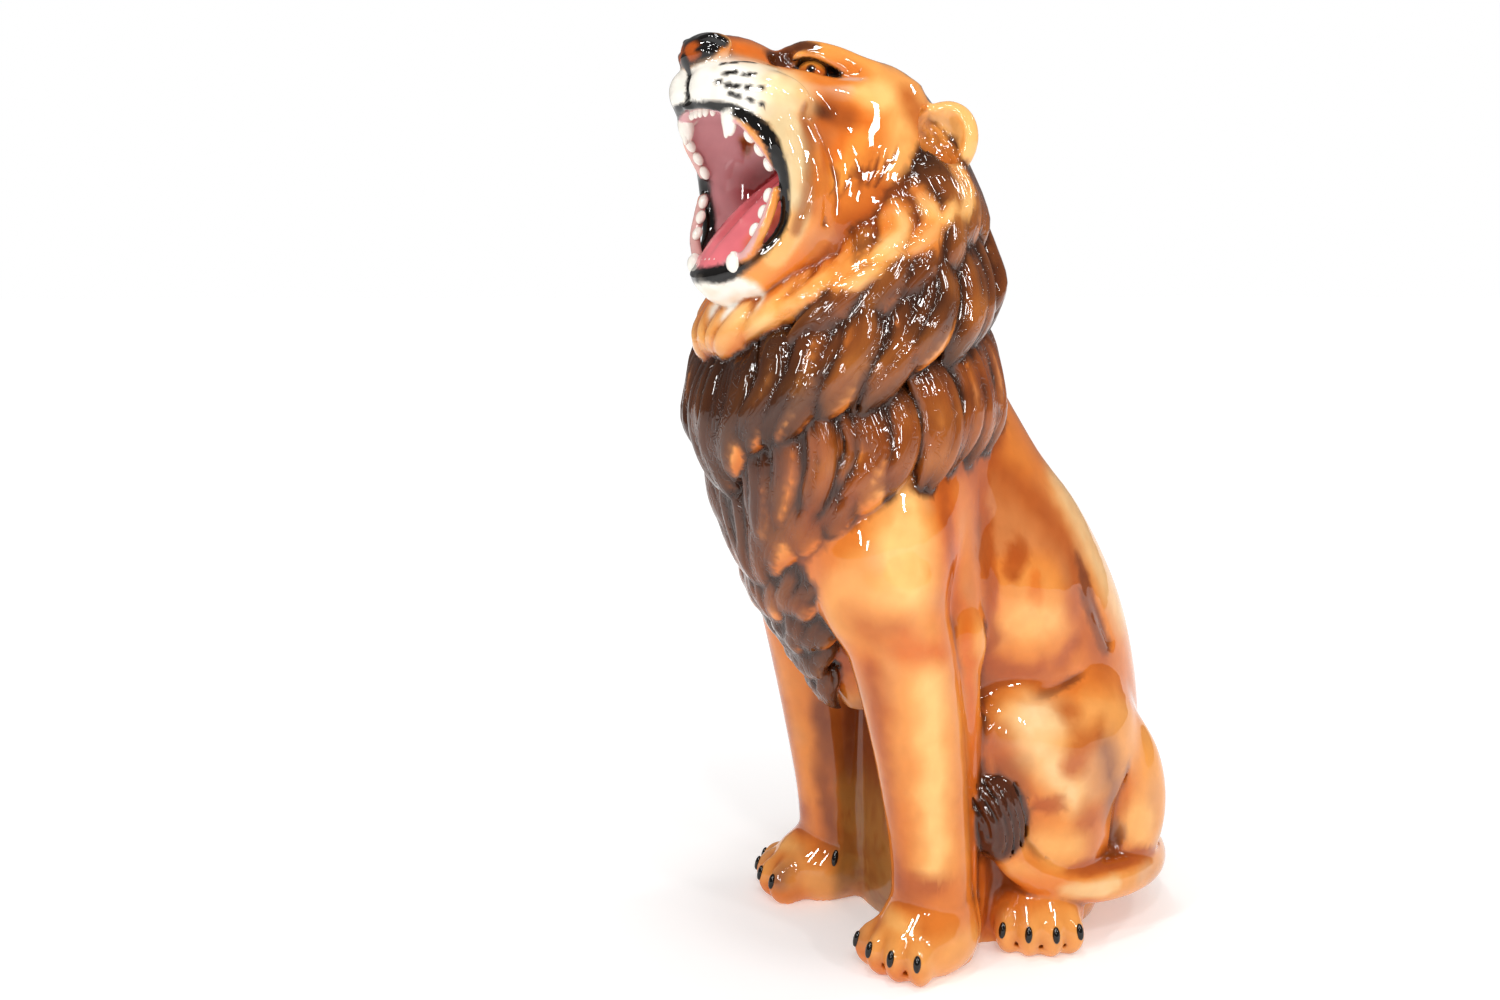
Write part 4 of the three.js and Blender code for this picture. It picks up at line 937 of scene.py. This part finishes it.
# %% Strokes on the body
# Strokes, on the body and later on the face: form, tint, softness, strength, sides.
BODY_STROKES = [
    # back and flank
    [limb([[94, -9, 473, 4], [91, 36, 444, 5], [90, 80, 394, 5], [97, 92, 329, 4], [102, 122, 277, 3]]),
     "rust", 28, 0.7, BOTH],
    [limb([[60, 100, 441, 14], [66, 135, 381, 14], [70, 170, 320, 14]]), "pale", 30, 0.6, BOTH],
    [limb([[99, -14, 455, 3], [101, -15, 405, 4], [107, -14, 345, 4], [108, -16, 300, 4]]),
     "rust", 8, 0.85, BOTH],
    [limb([[106, 22, 402, 3], [109, 14, 386, 5], [111, 8, 372, 4]]), "rust", 9, 0.85, BOTH],
    [limb([[112, 34, 368, 4], [113, 34, 345, 5]]), "orange", 7, 0.6, BOTH],
    [egg([112, 34, 326], [12, 30, 10]), "cream", 20, 0.6, BOTH],
    [limb([[88, 98, 378, 3], [91, 112, 335, 8], [97, 128, 292, 8]]), "brown", 8, 0.85, BOTH],
    # painted shade in the crease under the belly, over the thigh
    [limb([[104, -4, 288, 5], [109, 33, 278, 5], [111, 70, 278, 5], [107, 90, 296, 4]]),
     "rust", 14, 0.8, BOTH],
    # shoulder and elbow: a painted highlight on the shoulder, and painted shade at the elbow under it
    [limb([[124, -120, 448, 8], [134, -124, 415, 14], [138, -122, 376, 10]]), "cream", 28, 0.95, BOTH],
    [limb([[117, -72, 466, 5], [123, -74, 430, 7], [122, -68, 393, 7], [118, -62, 352, 5]]),
     "orange", 16, 0.95, BOTH],
    [limb([[121, -72, 466, 3], [124, -74, 425, 4], [122, -70, 390, 3], [120, -60, 350, 3]]),
     "rust", 10, 0.8, BOTH],
    # painted shade at the elbow, under the shoulder's bulge
    [limb([[108, -152, 350, 4], [124, -144, 336, 5], [136, -128, 330, 3]]), "rust", 24, 0.5, BOTH],
    [limb([[136, -122, 322, 3], [140, -108, 314, 5], [136, -84, 318, 3]]), "orange", 16, 0.75, BOTH],
    # foreleg, with a painted highlight down its front
    [limb([[140, -100, 288, 4], [140, -93, 215, 5], [135, -87, 147, 5], [128, -90, 100, 3]]),
     "cream", 24, 0.9, BOTH],
    [limb([[112, -142, 300, 4], [104, -134, 220, 4], [100, -122, 140, 4], [98, -116, 92, 4]]),
     "rust", 18, 0.75, BOTH],
    [limb([[122, -48, 350, 3], [119, -40, 222, 3], [117, -34, 84, 3]]), "orange", 10, 0.8, BOTH],
    [limb([[112, -22, 330, 2], [110, -22, 220, 2], [108, -22, 60, 2]]), "umber", 6, 0.85, BOTH],
    # wall between the forelegs
    [egg([0, -62, 100], [66, 20, 90], [0, 0, 0], 4), "olive", 10, 0.9, ONE],
    [egg([0, -62, 190], [70, 26, 44]), "brown", 40, 0.9, ONE],
    [limb([[62, -100, 240, 4], [66, -96, 150, 4], [64, -88, 70, 3]]), "brown", 14, 0.7, BOTH],
    # paws
    [egg([118, -96, 88], [24, 22, 8]), "rust", 14, 0.85, BOTH],
    [egg([110, -118, 54], [26, 12, 4]), "cream", 12, 0.6, BOTH],
    [egg([112, -140, 10], [44, 30, 8]), "orange", 16, 0.6, BOTH],
    [limb([[80, -124, 60, 2], [76, -140, 30, 2]]), "plum", 18, 0.7, BOTH],
    [limb([[90, -122, 66, 2], [118, -122, 64, 2], [138, -104, 60, 2]]), "rust", 12, 0.55, BOTH],
    [egg([132, 30, 72], [16, 34, 8]), "orange", 12, 0.6, BOTH],
    # thigh
    [egg([121, -8, 216], [6, 12, 16]), "rust", 16, 0.75, BOTH],
    [egg([127, 30, 236], [12, 24, 12]), "pale", 26, 0.75, BOTH],
    [limb([[135, 62, 220, 2], [136, 80, 212, 4], [132, 96, 216, 2]]), "rust", 16, 0.7, BOTH],
    # painted shade in plum on the back of the thigh and in its crease
    [limb([[134, 108, 200, 2], [132, 114, 165, 3], [126, 120, 136, 2]]), "plum", 24, 0.65, BOTH],
    [limb([[122, 134, 176, 2], [122, 134, 130, 3], [114, 136, 92, 3]]), "plum", 8, 0.8, BOTH],
    [limb([[128, 28, 153, 5], [132, 40, 153, 6], [134, 50, 152, 5]]), "rust", 3, 0.75, BOTH],
    [limb([[128, 22, 204, 4], [134, 58, 170, 6], [132, 70, 150, 4]]), "pale", 24, 0.6, BOTH],
    [egg([134, 66, 192], [8, 8, 10]), "rust", 16, 0.7, BOTH],
    [egg([128, 62, 240], [6, 8, 6]), "rust", 14, 0.7, BOTH],
    [egg([122, 4, 180], [8, 12, 14]), "brown", 20, 0.6, BOTH],
    [egg([130, 84, 128], [8, 10, 8]), "rust", 18, 0.6, BOTH],
    [limb([[126, 20, 118, 3], [131, 44, 108, 6], [128, 74, 104, 4]]), "cream", 20, 0.55, BOTH],
    [egg([122, 158, 110], [8, 16, 20]), "cream", 14, 0.6, BOTH],
]
TAIL_STROKES = [
    [limb([[126, 50, 84, 3], [130, 93, 80, 5], [124, 147, 78, 5], [112, 186, 76, 3]]),
     "rust", 6, 0.8, LEFT],
    # a painted reflection in lilac along the tail's outer rim
    [limb([[120, 196, 90, 4], [134, 160, 58, 4]]), "lilac", 12, 0.5, LEFT],
    [limb([[136, 120, 62, 3], [138, 96, 60, 4], [134, 60, 66, 3]]), "pale", 9, 0.6, LEFT],
]
stroke(BODY_STROKES, p, 12)
stroke(TAIL_STROKES, p, 6)
# The wall between the forelegs has thin level bands.
bands = blotches(p, (26, 26, 3.5), 8)
wall = inside(egg([0, -62, 110], [60, 18, 100], (0, 0, 0), 4), 6, ONE, p)
wash(wall * ease((bands - 0.5) / 0.3) * 0.35, "brown")
above_sole = ease((p[:, 2] - 10) / 10)
for form, sides in toe_creases:
    wash(inside(form, 10, sides, p) * above_sole * 0.5, "rust")
    wash(inside(form, 3, sides, p) * above_sole * 0.7, "brown")
wash(inside(TUFT, 5, LEFT, p), "umber")
wash(inside(TUFT, 3, LEFT, p) * ease((-fold - 0.1) / 0.8) * 0.8, "dark")
print(len(BODY_STROKES) + len(TAIL_STROKES), "strokes on the body")

# %% Strokes on the mane
# Each row of locks, lowest first: the tints of its roots, its middle and its tips.
MANE_TINTS = [
    ("dark", "brown", "dark"), ("dark", "brown", "dark"), ("dark", "brown", "dark"),
    ("dark", "brown", "umber"), ("umber", "rust", "umber"), ("umber", "rust", "umber"),
    ("dark", "brown", "dark"), ("dark", "brown", "umber"), ("umber", "brown", "umber"),
    ("orange", "gold", "rust"),
]
# Tints and strengths by kind of lock: clouds and gold on its heart, strength of the tip, then its
# folds, its grooves and its ridges. The dark of the folds is partly painted shade, and the light
# tint of the ridges partly a painted highlight.
LOCK_PAINT = {
    "bib": ("orange", 0.2, 0.1, 0.9, "dark", "dark", 0.7, "gold", 0.15),
    "mane": ("amber", 0.45, 0.3, 0.9, "dark", "dark", 0.7, "gold", 0.15),
    "golden": ("cream", 0.95, 0.9, 0.6, "rust", "brown", 0.5, "pale", 0.4),
}
LOCK_KINDS = ["bib"] * 4 + ["mane"] * 5 + ["golden"]
NO_LOCK = 1e3
nearest = np.full(len(p), NO_LOCK)
row_of = np.full(len(p), -1)
along, tone, comb = np.zeros((3, len(p)))
# Each point of the mane finds its strand: how far along it lies, how far from the middle of the
# lock, and how far across the strand's own line.
AROUND = 12
for row, u, v, line in laid:
    low = line[:, :3].min(0) - AROUND
    high = line[:, :3].max(0) + AROUND
    here = np.nonzero(((p > low) & (p < high)).all(1))[0]
    if not len(here):
        continue
    gap = np.linalg.norm(p[here, None, :] - line[None, :, :3], axis=2) - line[None, :, 3]
    best = gap.argmin(1)
    gap = gap[np.arange(len(here)), best]
    better = gap < nearest[here]
    here, best, gap = here[better], best[better], gap[better]
    nearest[here], row_of[here] = gap, row
    along[here], tone[here] = best / (len(line) - 1), 1 - abs(v + 0.25 * u)
    ahead = line[np.minimum(best + 1, len(line) - 1), :3] - line[np.maximum(best - 1, 0), :3]
    sideways = np.cross(ahead, outward[here])
    sideways /= np.linalg.norm(sideways, axis=1)[:, None] + 1e-9
    comb[here] = ((p[here] - line[best, :3]) * sideways).sum(1)

on_mane = ease(1 - (nearest - 1.5) / 4)
heart = ease((along - 0.08) / 0.35) * ease((tone + 0.1) / 0.8) * ease((0.98 - along) / 0.2)
cloudy = ease((blotches(p, 34, 14) - 0.3) / 0.4)
for row, (root, middle, tip) in enumerate(MANE_TINTS):
    kind = LOCK_PAINT[LOCK_KINDS[row]]
    clouds, clouding, gilding, tipping, folds, grooves, grooving, ridges, ridging = kind
    mine = on_mane * (row_of == row)
    wash(mine, root)
    wash(mine * ease((along - 0.05) / 0.25) * (0.3 + 0.5 * blotches(p, 20, 11)), middle)
    wash(mine * heart * cloudy * clouding, clouds)
    wash(mine * heart * ease((blotches(p, 22, 12) - 0.5) / 0.3) * gilding, "gold")
    wash(mine * ease((along - 0.66) / 0.3) * tipping, tip)
    # Dark in the folds, partly painted shade; dark in the grooves; a lighter tint on the ridges, partly a
    # painted highlight.
    wash(mine * ease((-fold - 0.15) / 0.9) * 0.9, folds)
    wash(mine * ease((-ridge - 0.05) / 0.3) * grooving, grooves)
    wash(mine * ease((ridge - 0.06) / 0.3) * ridging, ridges)

def mane_rows(first, last):
    """Where the mane's rows lie, from one to another."""
    return on_mane * (row_of >= first) * (row_of <= last)

by_cheek = mane_rows(6, 8) * ease((-96 - p[:, 1]) / 26) * ease((p[:, 2] - 664) / 26)
wash(by_cheek * 0.85, "rust")
wash(by_cheek * ease((fold + 0.3) / 0.8) * 0.8, "gold")
wash(mane_rows(3, 7) * ease((-196 - p[:, 1]) / 36) * 0.6, "dark")
wash(mane_rows(0, 2) * 0.35, "dark")
wash(mane_rows(8, 8) * 0.5, "umber")
wash(mane_rows(4, 7) * 0.18, "umber")
soft = spread(paint, 2)
paint = paint + (soft - paint) * on_mane[:, None] * 0.8
print(int((on_mane > 0.5).sum()), "points on the mane")

# %% Strokes on the face
EAR_SKIN = egg([86, -70, 764], [33, 17, 38], [0, 26, 38])
FACE_STROKES = [
    # forehead and brow
    [limb([[0, -100, 842, 20], [0, -150, 850, 14]]), "orange", 24, 0.5, ONE],
    [limb([[30, -182, 850, 3], [48, -168, 846, 4], [66, -140, 834, 4]]), "gold", 12, 0.8, BOTH],
    # painted shade in the hollow between the brow and the snout
    [limb([[22, -196, 848, 4], [34, -187, 845, 4], [44, -180, 842, 2]]), "umber", 6, 0.9, BOTH],
    # snout
    [limb([[0, -266, 850, 6], [0, -240, 850, 9], [0, -200, 846, 9]]), "rust", 22, 0.85, ONE],
    [limb([[0, -262, 852, 6], [0, -246, 852, 8]]), "brown", 16, 0.8, ONE],
    [limb([[25, -244, 842, 3], [30, -220, 838, 4], [36, -206, 828, 4]]), "orange", 9, 0.8, BOTH],
    # painted shade in the hollow before the eye
    [egg([25, -203, 835], [7, 11, 8]), "umber", 6, 0.95, BOTH],
    [egg([29, -212, 829], [4, 5, 4]), "orange", 4, 0.8, BOTH],
    # cheek: painted highlights under the eye and on the cheekbone, and painted shade in the hollow below
    [limb([[58, -198, 803, 4], [68, -184, 800, 4], [76, -166, 802, 4]]), "lilac", 6, 0.55, BOTH],
    [egg([82, -144, 799], [12, 18, 8]), "cream", 14, 0.85, BOTH],
    [limb([[60, -200, 794, 6], [72, -184, 786, 9], [84, -162, 778, 8], [84, -176, 756, 6]]),
     "orange", 16, 0.75, BOTH],
    # painted shade in the cheek's hollow
    [limb([[64, -196, 789, 1], [72, -183, 786, 3], [80, -170, 781, 2]]), "brown", 15, 0.85, BOTH],
    [limb([[68, -190, 787, 1], [74, -180, 785, 1]]), "umber", 9, 0.7, BOTH],
    [limb([[88, -160, 764, 5], [86, -170, 744, 5], [84, -184, 726, 4]]), "gold", 10, 0.7, BOTH],
    [limb([[96, -120, 770, 8], [98, -128, 740, 8]]), "cream", 18, 0.6, BOTH],
    [limb([[92, -110, 800, 6], [98, -100, 780, 6]]), "rust", 14, 0.6, BOTH],
    # the pad, the lip's skin and its folds
    [egg([48, -230, 797], [26, 34, 22], [-12, 0, -20]), "pale", 16, 0.95, BOTH],
    [limb([[60, -236, 786, 7], [74, -226, 766, 9], [81, -222, 742, 9], [81, -221, 714, 9], [76, -224, 690, 9],
           [64, -233, 664, 8]]), "beige", 7, 0.95, BOTH],
    [limb([[74, -224, 690, 7], [64, -232, 662, 7], [50, -240, 645, 6]]), "gold", 10, 0.55, BOTH],
    [limb([[74, -209, 786, 1], [81, -211, 763, 1.5], [86, -211, 746, 1.5], [86, -213, 726, 1.5],
           [82, -217, 705, 1.5], [75, -220, 684, 1]]), "brown", 8, 0.55, BOTH],
    [limb([[76, -190, 768, 1], [84, -197, 743, 1.5], [88, -206, 722, 1.5], [85, -210, 701, 1]]),
     "rust", 12, 0.5, BOTH],
    [egg([28, -249, 799], [32, 42, 25], [-12, 0, -22]), "white", 12, 0.98, BOTH],
    [egg([15, -270, 804], [20, 19, 20]), "white", 4, 1.0, BOTH],
    [egg([0, -256, 628], [50, 40, 20]), "white", 9, 0.98, ONE],
    # ear
    [EAR_SKIN, "cream", 4, 0.8, BOTH],
]
face = 1 - on_mane
kept = paint.copy()
stroke(FACE_STROKES, head, 3)
paint = kept + (paint - kept) * face[:, None]
ear = inside(EAR_HOLLOW, 1.5, BOTH, head)
wash(ear * 0.9, "gold")
wash(ear * ease((770 - head[:, 2]) / 25) * 0.5, "rust")
wash(ear * ease((np.sin(head[:, 0] * 0.9 + head[:, 2] * 0.35) - 0.2) / 0.6) * 0.35, "brown")
cheek = inside(egg([92, -160, 738], [14, 36, 30]), 6, BOTH, head) * face
wash(cheek * ease((-ridge - 0.02) / 0.2) * 0.8, "brown")
rear = ease((head[:, 1] + 112) / 26) * ease((head[:, 2] - 782) / 14) * ease((80 - abs(head[:, 0])) / 14)
rear *= 1 - inside(EAR_SKIN, 6, BOTH, head)
wash(rear * 0.85, "umber")
wash(rear * ease((np.sin(head[:, 0] * 0.7 + 3 * blotches(p, 30, 15)) - 0.1) / 0.6) * 0.5, "rust")
print(len(FACE_STROKES), "strokes on the face")

# %% Mouth, lips and nose
depth = mouth_form[0](*head.astype(F).T)
shallow = ease((2.6 - depth) / 2)
in_mouth = shallow * (head[:, 1] > -292)
wash(in_mouth, "palate")
wash(in_mouth * inside(egg([0, -186, 728], [44, 26, 20]), 24, ONE, head), "throat")
wash(inside(TONGUE, 3, ONE, head) * in_mouth, "tongue")
groove = limb([[0, -186, 742, 2], [0, -216, 716, 2], [0, -248, 688, 2]])
wash(inside(groove, 12, ONE, head) * in_mouth * 0.5, "throat")
wash(inside(limb([[40, -210, 706, 3], [38, -240, 676, 3]]), 10, BOTH, head) * in_mouth * 0.5, "orange")
LIP = limb([
    [0, -282, 789, 4], [22, -279, 789, 3.5], [42, -267, 786, 3.5], [54, -252, 776, 4.5], [61, -240, 763, 6],
    [66, -226, 735, 7], [66, -222, 712, 7], [61, -224, 686, 7], [46, -239, 660, 7], [24, -259, 648, 7],
    [0, -266, 645, 7]])
wash(inside(LIP, 2.2, BOTH, head) * 0.98, "black")
for gum in (UPPER_GUM, LOWER_GUM):
    wash(inside(gum, 1.6, BOTH, head) * shallow, "gum")
for tooth in (UPPER_CANINE, LOWER_CANINE):
    wash(inside(tooth, 1.2, BOTH, head), "white")
NOSE_STROKES = [
    [egg([0, -272, 838], [26, 17, 15], [16, 0, 0]), "black", 4, 1.0, ONE],
    [limb([[12, -284, 842, 5], [20, -276, 845, 5], [28, -262, 842, 3]]), "black", 3, 1.0, BOTH],
    [egg([12, -288, 836], [9, 8, 8]), "rust", 6, 0.95, BOTH],
    [limb([[17, -284, 838, 3], [22, -277, 840, 3.5], [27, -269, 838, 2]]), "black", 3, 1.0, BOTH],
    [limb([[0, -278, 851, 2], [12, -275, 851, 2], [24, -264, 846, 2]]), "black", 3, 0.9, BOTH],
    [limb([[0, -285, 828, 5], [0, -281, 819, 3], [0, -280, 806, 1.8], [0, -281, 795, 3]]),
     "black", 2, 1.0, ONE],
]
stroke(NOSE_STROKES, head)
# Whisker dots: place, and about half of the length.
WHISKERS = [
    (35, -267, 823, 2), (39, -259, 824, 3), (42, -246, 826, 6), (43, -270, 814, 2), (46, -265, 815, 3),
    (53, -253, 813, 6), (40, -276, 807, 2), (46, -270, 804, 2.5), (50, -264, 803, 2.5), (56, -256, 802, 3),
    (64, -249, 801, 3.5), (47, -268, 797, 1.5), (50, -264, 795, 2.5), (56, -254, 792, 4), (63, -247, 788, 3),
]
for x, y, z, reach in WHISKERS:
    dot = limb([[x - reach * 0.2, y - reach * 0.9, z, 0.7], [x + reach * 0.2, y + reach * 0.9, z, 1.3]], 1)
    wash(inside(dot, 2.0, BOTH, head) * 0.92, "black")
LINER = [
    limb([[26, -206, 822, 1.5], [30, -200, 826, 2.5], [38, -190, 831, 2.4], [47, -178, 829, 2.4],
          [56, -166, 822, 2.2], [64, -154, 816, 1.4], [72, -144, 813, 0.6]]),
    limb([[26, -206, 821, 1.5], [32, -200, 819, 2], [43, -193, 816, 1.4], [54, -180, 813, 1.6],
          [62, -165, 815, 2.5]]),
]
for line in LINER:
    wash(inside(line, 2.2, BOTH, head), "black")
wash(inside(SOCKET, 2.5, BOTH, head), "black")
# A painted highlight in lilac along the lower lid.
UNDER_LID_HIGHLIGHT = limb([[50, -192, 810, 1], [58, -180, 809, 1.5], [68, -160, 813, 1.5], [74, -148, 813, 1]])
wash(inside(UNDER_LID_HIGHLIGHT, 2.5, BOTH, head) * 0.8, "lilac")
print("lips, nose, whisker dots and eyelids painted")

# %% [markdown]
# ## Eyes, teeth and claws
# These small hard things are round and crisp, so each is a small ball of its own, pressed
# part way into the clay, and all of them are joined to the body afterwards.
# %% Painted balls
def to_linear(rgb):
    """Colours as the picture shows them, as amounts of light."""
    return np.where(rgb <= 0.04045, rgb / 12.92, ((rgb + 0.055) / 1.055) ** 2.4)

def give_paint(mesh, colours):
    """Store a colour for each point of a mesh."""
    layer = mesh.attributes.new("paint", "FLOAT_COLOR", "POINT")
    full = np.ones((len(colours), 4), np.float32)
    full[:, :3] = to_linear(np.clip(colours, 0, 1))
    layer.data.foreach_set("color", full.ravel())

balls = []
def ball(at, radii, aim, tint, rings=8):
    """A small ball whose own upward axis points along aim."""
    aim = np.array(aim, float) / np.linalg.norm(aim)
    turn = (math.acos(aim[2]), 0.0, math.atan2(aim[0], -aim[1]))
    bpy.ops.mesh.primitive_uv_sphere_add(
        segments=rings * 2, ring_count=rings, radius=1.0, location=at, rotation=turn, scale=radii)
    made = bpy.context.active_object
    where = read("co", made.data.vertices, 3)
    give_paint(made.data, tint(where / radii) if callable(tint) else np.tile(tints[tint], (len(where), 1)))
    balls.append(made)

def turned(x, y, z):
    """An aim in the head that looks straight ahead, turned with the head."""
    c, s = math.cos(HEAD_TURN), math.sin(HEAD_TURN)
    return (c * x - s * y, s * x + c * y, z)

def from_head(x, y, z):
    """The place in the body's frame of a place in the head that looks straight ahead."""
    x, y, z = turned(x - HEAD_PIVOT[0], y - HEAD_PIVOT[1], z)
    return (x + HEAD_PIVOT[0] + HEAD_SHIFT, y + HEAD_PIVOT[1], z)

print("the face looks along", np.round(turned(0, -1, 0), 3))

# %% Eyes
EYE = (32, -172.5, 821)
EYE_RADIUS = 15
EYE_AIM = (0.72, -0.66, 0.22)
EYE_RINGS = 26
def eye_tint(where):
    """Pupil, amber iris with a darker rim, and black beyond."""
    a = np.degrees(np.arccos(np.clip(where[:, 2], -1, 1)))
    out = np.tile(tints["orange"], (len(where), 1))
    low = ease((where[:, 1] + 0.1) / 0.5)
    for share, tint in (
            (low * 0.8, "gold"), (ease((a - 46) / 10), "brown"), (ease((a - 56) / 4), "black"),
            (ease((20 - a) / 6) * 0.8, "brown"), (ease((15 - a) / 3), "black")):
        out = out + (tints[tint] - out) * share[:, None]
    return out

for side in BOTH:
    ball(from_head(side * EYE[0], EYE[1], EYE[2]), [EYE_RADIUS] * 3,
         turned(side * EYE_AIM[0], EYE_AIM[1], EYE_AIM[2]), eye_tint, EYE_RINGS)
print(len(balls), "eyes set in")

# %% Teeth
# Small front teeth, above and below: places, aim and half sizes.
FRONT_TEETH = [
    ([(3.6, -271, 787), (10.8, -270, 787), (18, -267, 787)], (0, -0.1, -1), (3.4, 2.8, 6.0)),
    ([(3.4, -261, 657), (10, -260, 657), (16.5, -258, 657)], (0, -0.1, 1), (3.2, 2.6, 5.0)),
]
CHEEK_TOOTH = (4.4, 4.4, 6.6)
CHEEK_TEETH = [
    ((49, -250, 763), (0, 0.6, -0.8)), ((51, -241, 752), (0, 0.6, -0.8)),
    ((53, -233, 740), (0, 0.5, -0.9)), ((54, -234, 714), (0, -0.3, -0.95)),
    ((52, -238, 700), (0, -0.4, -0.9)), ((48, -244, 685), (0, -0.5, -0.85)),
]
CANINES = [((35.8, -262, 780), (0, 0.05, -1), (7.8, 7, 17)), ((33, -256, 656), (0, -0.2, 1), (7, 6.5, 9.5))]
FINE_RINGS = 10
for side in BOTH:
    for places, aim, half in FRONT_TEETH:
        for (x, y, z) in places:
            ball(from_head(side * x, y, z), half, turned(*aim), "white")
    for (x, y, z), aim in CHEEK_TEETH:
        ball(from_head(side * x, y, z), CHEEK_TOOTH, turned(*aim), "white")
    for (x, y, z), aim, half in CANINES:
        ball(from_head(side * x, y, z), half, turned(*aim), "white", FINE_RINGS)
print(len(balls), "balls so far")

# %% Claws
CLAW_HEIGHT = 27
CLAW, CLAW_LEAN, CLAW_SUNK = (3.6, 3.2, 8), 0.25, 0.6
INNER_CLAW = (3.6, 3.2, 9)
deep = TOE_SIZE[1] * math.sqrt(1 - ((CLAW_HEIGHT - TOE_HEIGHT) / TOE_SIZE[2]) ** 2) - CLAW_SUNK
for *_, heel, fan, reach, sides in PAWS:
    for toe, way in toes(heel, fan, reach):
        s, c = math.sin(math.radians(way)), math.cos(math.radians(way))
        for side in sides:
            place = (side * (toe[0] + s * deep), toe[1] - c * deep, CLAW_HEIGHT)
            ball(place, CLAW, (side * s * CLAW_LEAN, -c * CLAW_LEAN, -1), "black", FINE_RINGS)
for side in BOTH:
    ball((side * 60, -85, 52), INNER_CLAW, (side * -0.2, -0.3, -1), "black", FINE_RINGS)
print(len(balls), "balls in all")

# %% Join them and go over to metres
give_paint(lion.data, paint)
for name, values in (("comb", comb * on_mane), ("hair", on_mane)):
    lion.data.attributes.new(name, "FLOAT", "POINT").data.foreach_set("value", values.astype(np.float32))
only(lion)
for made in balls:
    made.select_set(True)
bpy.ops.object.join()
bpy.ops.object.shade_smooth()
mm = read("co", lion.data.vertices, 3)
mm[:, 2] = np.maximum(mm[:, 2], 0)
lion.data.vertices.foreach_set("co", ((mm + (SIDEWAYS, FORWARD, 0)) * MM).ravel())
lion.data.update()
print(triangles(), "triangles, each point painted")

# %% [markdown]
# ## Glaze
# The colour lies under a hard clear coat, which gives the sharp glints.
# %% Material
glaze = plain_material("glazed ceramic", (0.62, 0.27, 0.08), 0.5)
tree = glaze.node_tree
shader = tree.nodes["Principled BSDF"]
COAT = {"Coat Weight": 1.0, "Coat Roughness": 0.02, "Coat IOR": 1.5, "Specular IOR Level": 0.0}
for name, value in COAT.items():
    shader.inputs[name].default_value = value

def attribute(name, kind="Fac"):
    """What the points carry under a name, as one number or as a colour."""
    made = tree.nodes.new("ShaderNodeAttribute")
    made.attribute_name = name
    return made.outputs[kind]

def calculate(operation, a, b):
    """A sum on two numbers, each a value or the output of another node."""
    made = tree.nodes.new("ShaderNodeMath")
    made.operation = operation
    feed(tree, made.inputs[0], a)
    feed(tree, made.inputs[1], b)
    return made.outputs["Value"]

where = tree.nodes.new("ShaderNodeTexCoord").outputs["Object"]
def noise(scale, detail):
    """Soft noise over the figure, as one number."""
    made = tree.nodes.new("ShaderNodeTexNoise")
    made.inputs["Scale"].default_value = scale
    made.inputs["Detail"].default_value = detail
    feed(tree, made.inputs["Vector"], where)
    return made.outputs["Fac"]

# Fine grain in the colour; hairs that follow each lock, and soft waves of the glaze, in relief.
GRAIN_SCALE, GRAIN_DEPTH = 60.0, 0.22
HAIR_WIDTH, HAIR_SHARPNESS, HAIR_DEPTH = 4.6, 0.6, 0.7
WAVE_SCALE, WAVE_DEPTH = 38.0, 1.3
RELIEF, RELIEF_HEIGHT = 0.7, 0.0007
grain = calculate("ADD", calculate("MULTIPLY", noise(GRAIN_SCALE, 4.0), GRAIN_DEPTH), 1 - GRAIN_DEPTH / 2)
ripple = calculate("SINE", calculate("MULTIPLY", attribute("comb"), math.pi / HAIR_WIDTH), 0)
hair = calculate("POWER", calculate("ABSOLUTE", ripple, 0), HAIR_SHARPNESS)
hair = calculate("MULTIPLY", calculate("MULTIPLY", hair, HAIR_DEPTH), attribute("hair"))
height = calculate("ADD", hair, calculate("MULTIPLY", noise(WAVE_SCALE, 1.0), WAVE_DEPTH))
mixed = tree.nodes.new("ShaderNodeVectorMath")
mixed.operation = "MULTIPLY"
feed(tree, mixed.inputs[0], attribute("paint", "Color"))
feed(tree, mixed.inputs[1], grain)
feed(tree, shader.inputs["Base Color"], mixed.outputs["Vector"])
bump = tree.nodes.new("ShaderNodeBump")
bump.inputs["Strength"].default_value = RELIEF
bump.inputs["Distance"].default_value = RELIEF_HEIGHT
feed(tree, bump.inputs["Height"], height)
for name in ("Normal", "Coat Normal"):
    feed(tree, shader.inputs[name], bump.outputs["Normal"])
lion.data.materials.clear()
lion.data.materials.append(glaze)
print("glaze on", lion.name)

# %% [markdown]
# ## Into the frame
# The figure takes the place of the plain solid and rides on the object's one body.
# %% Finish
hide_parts("lion")
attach(lion, "root")
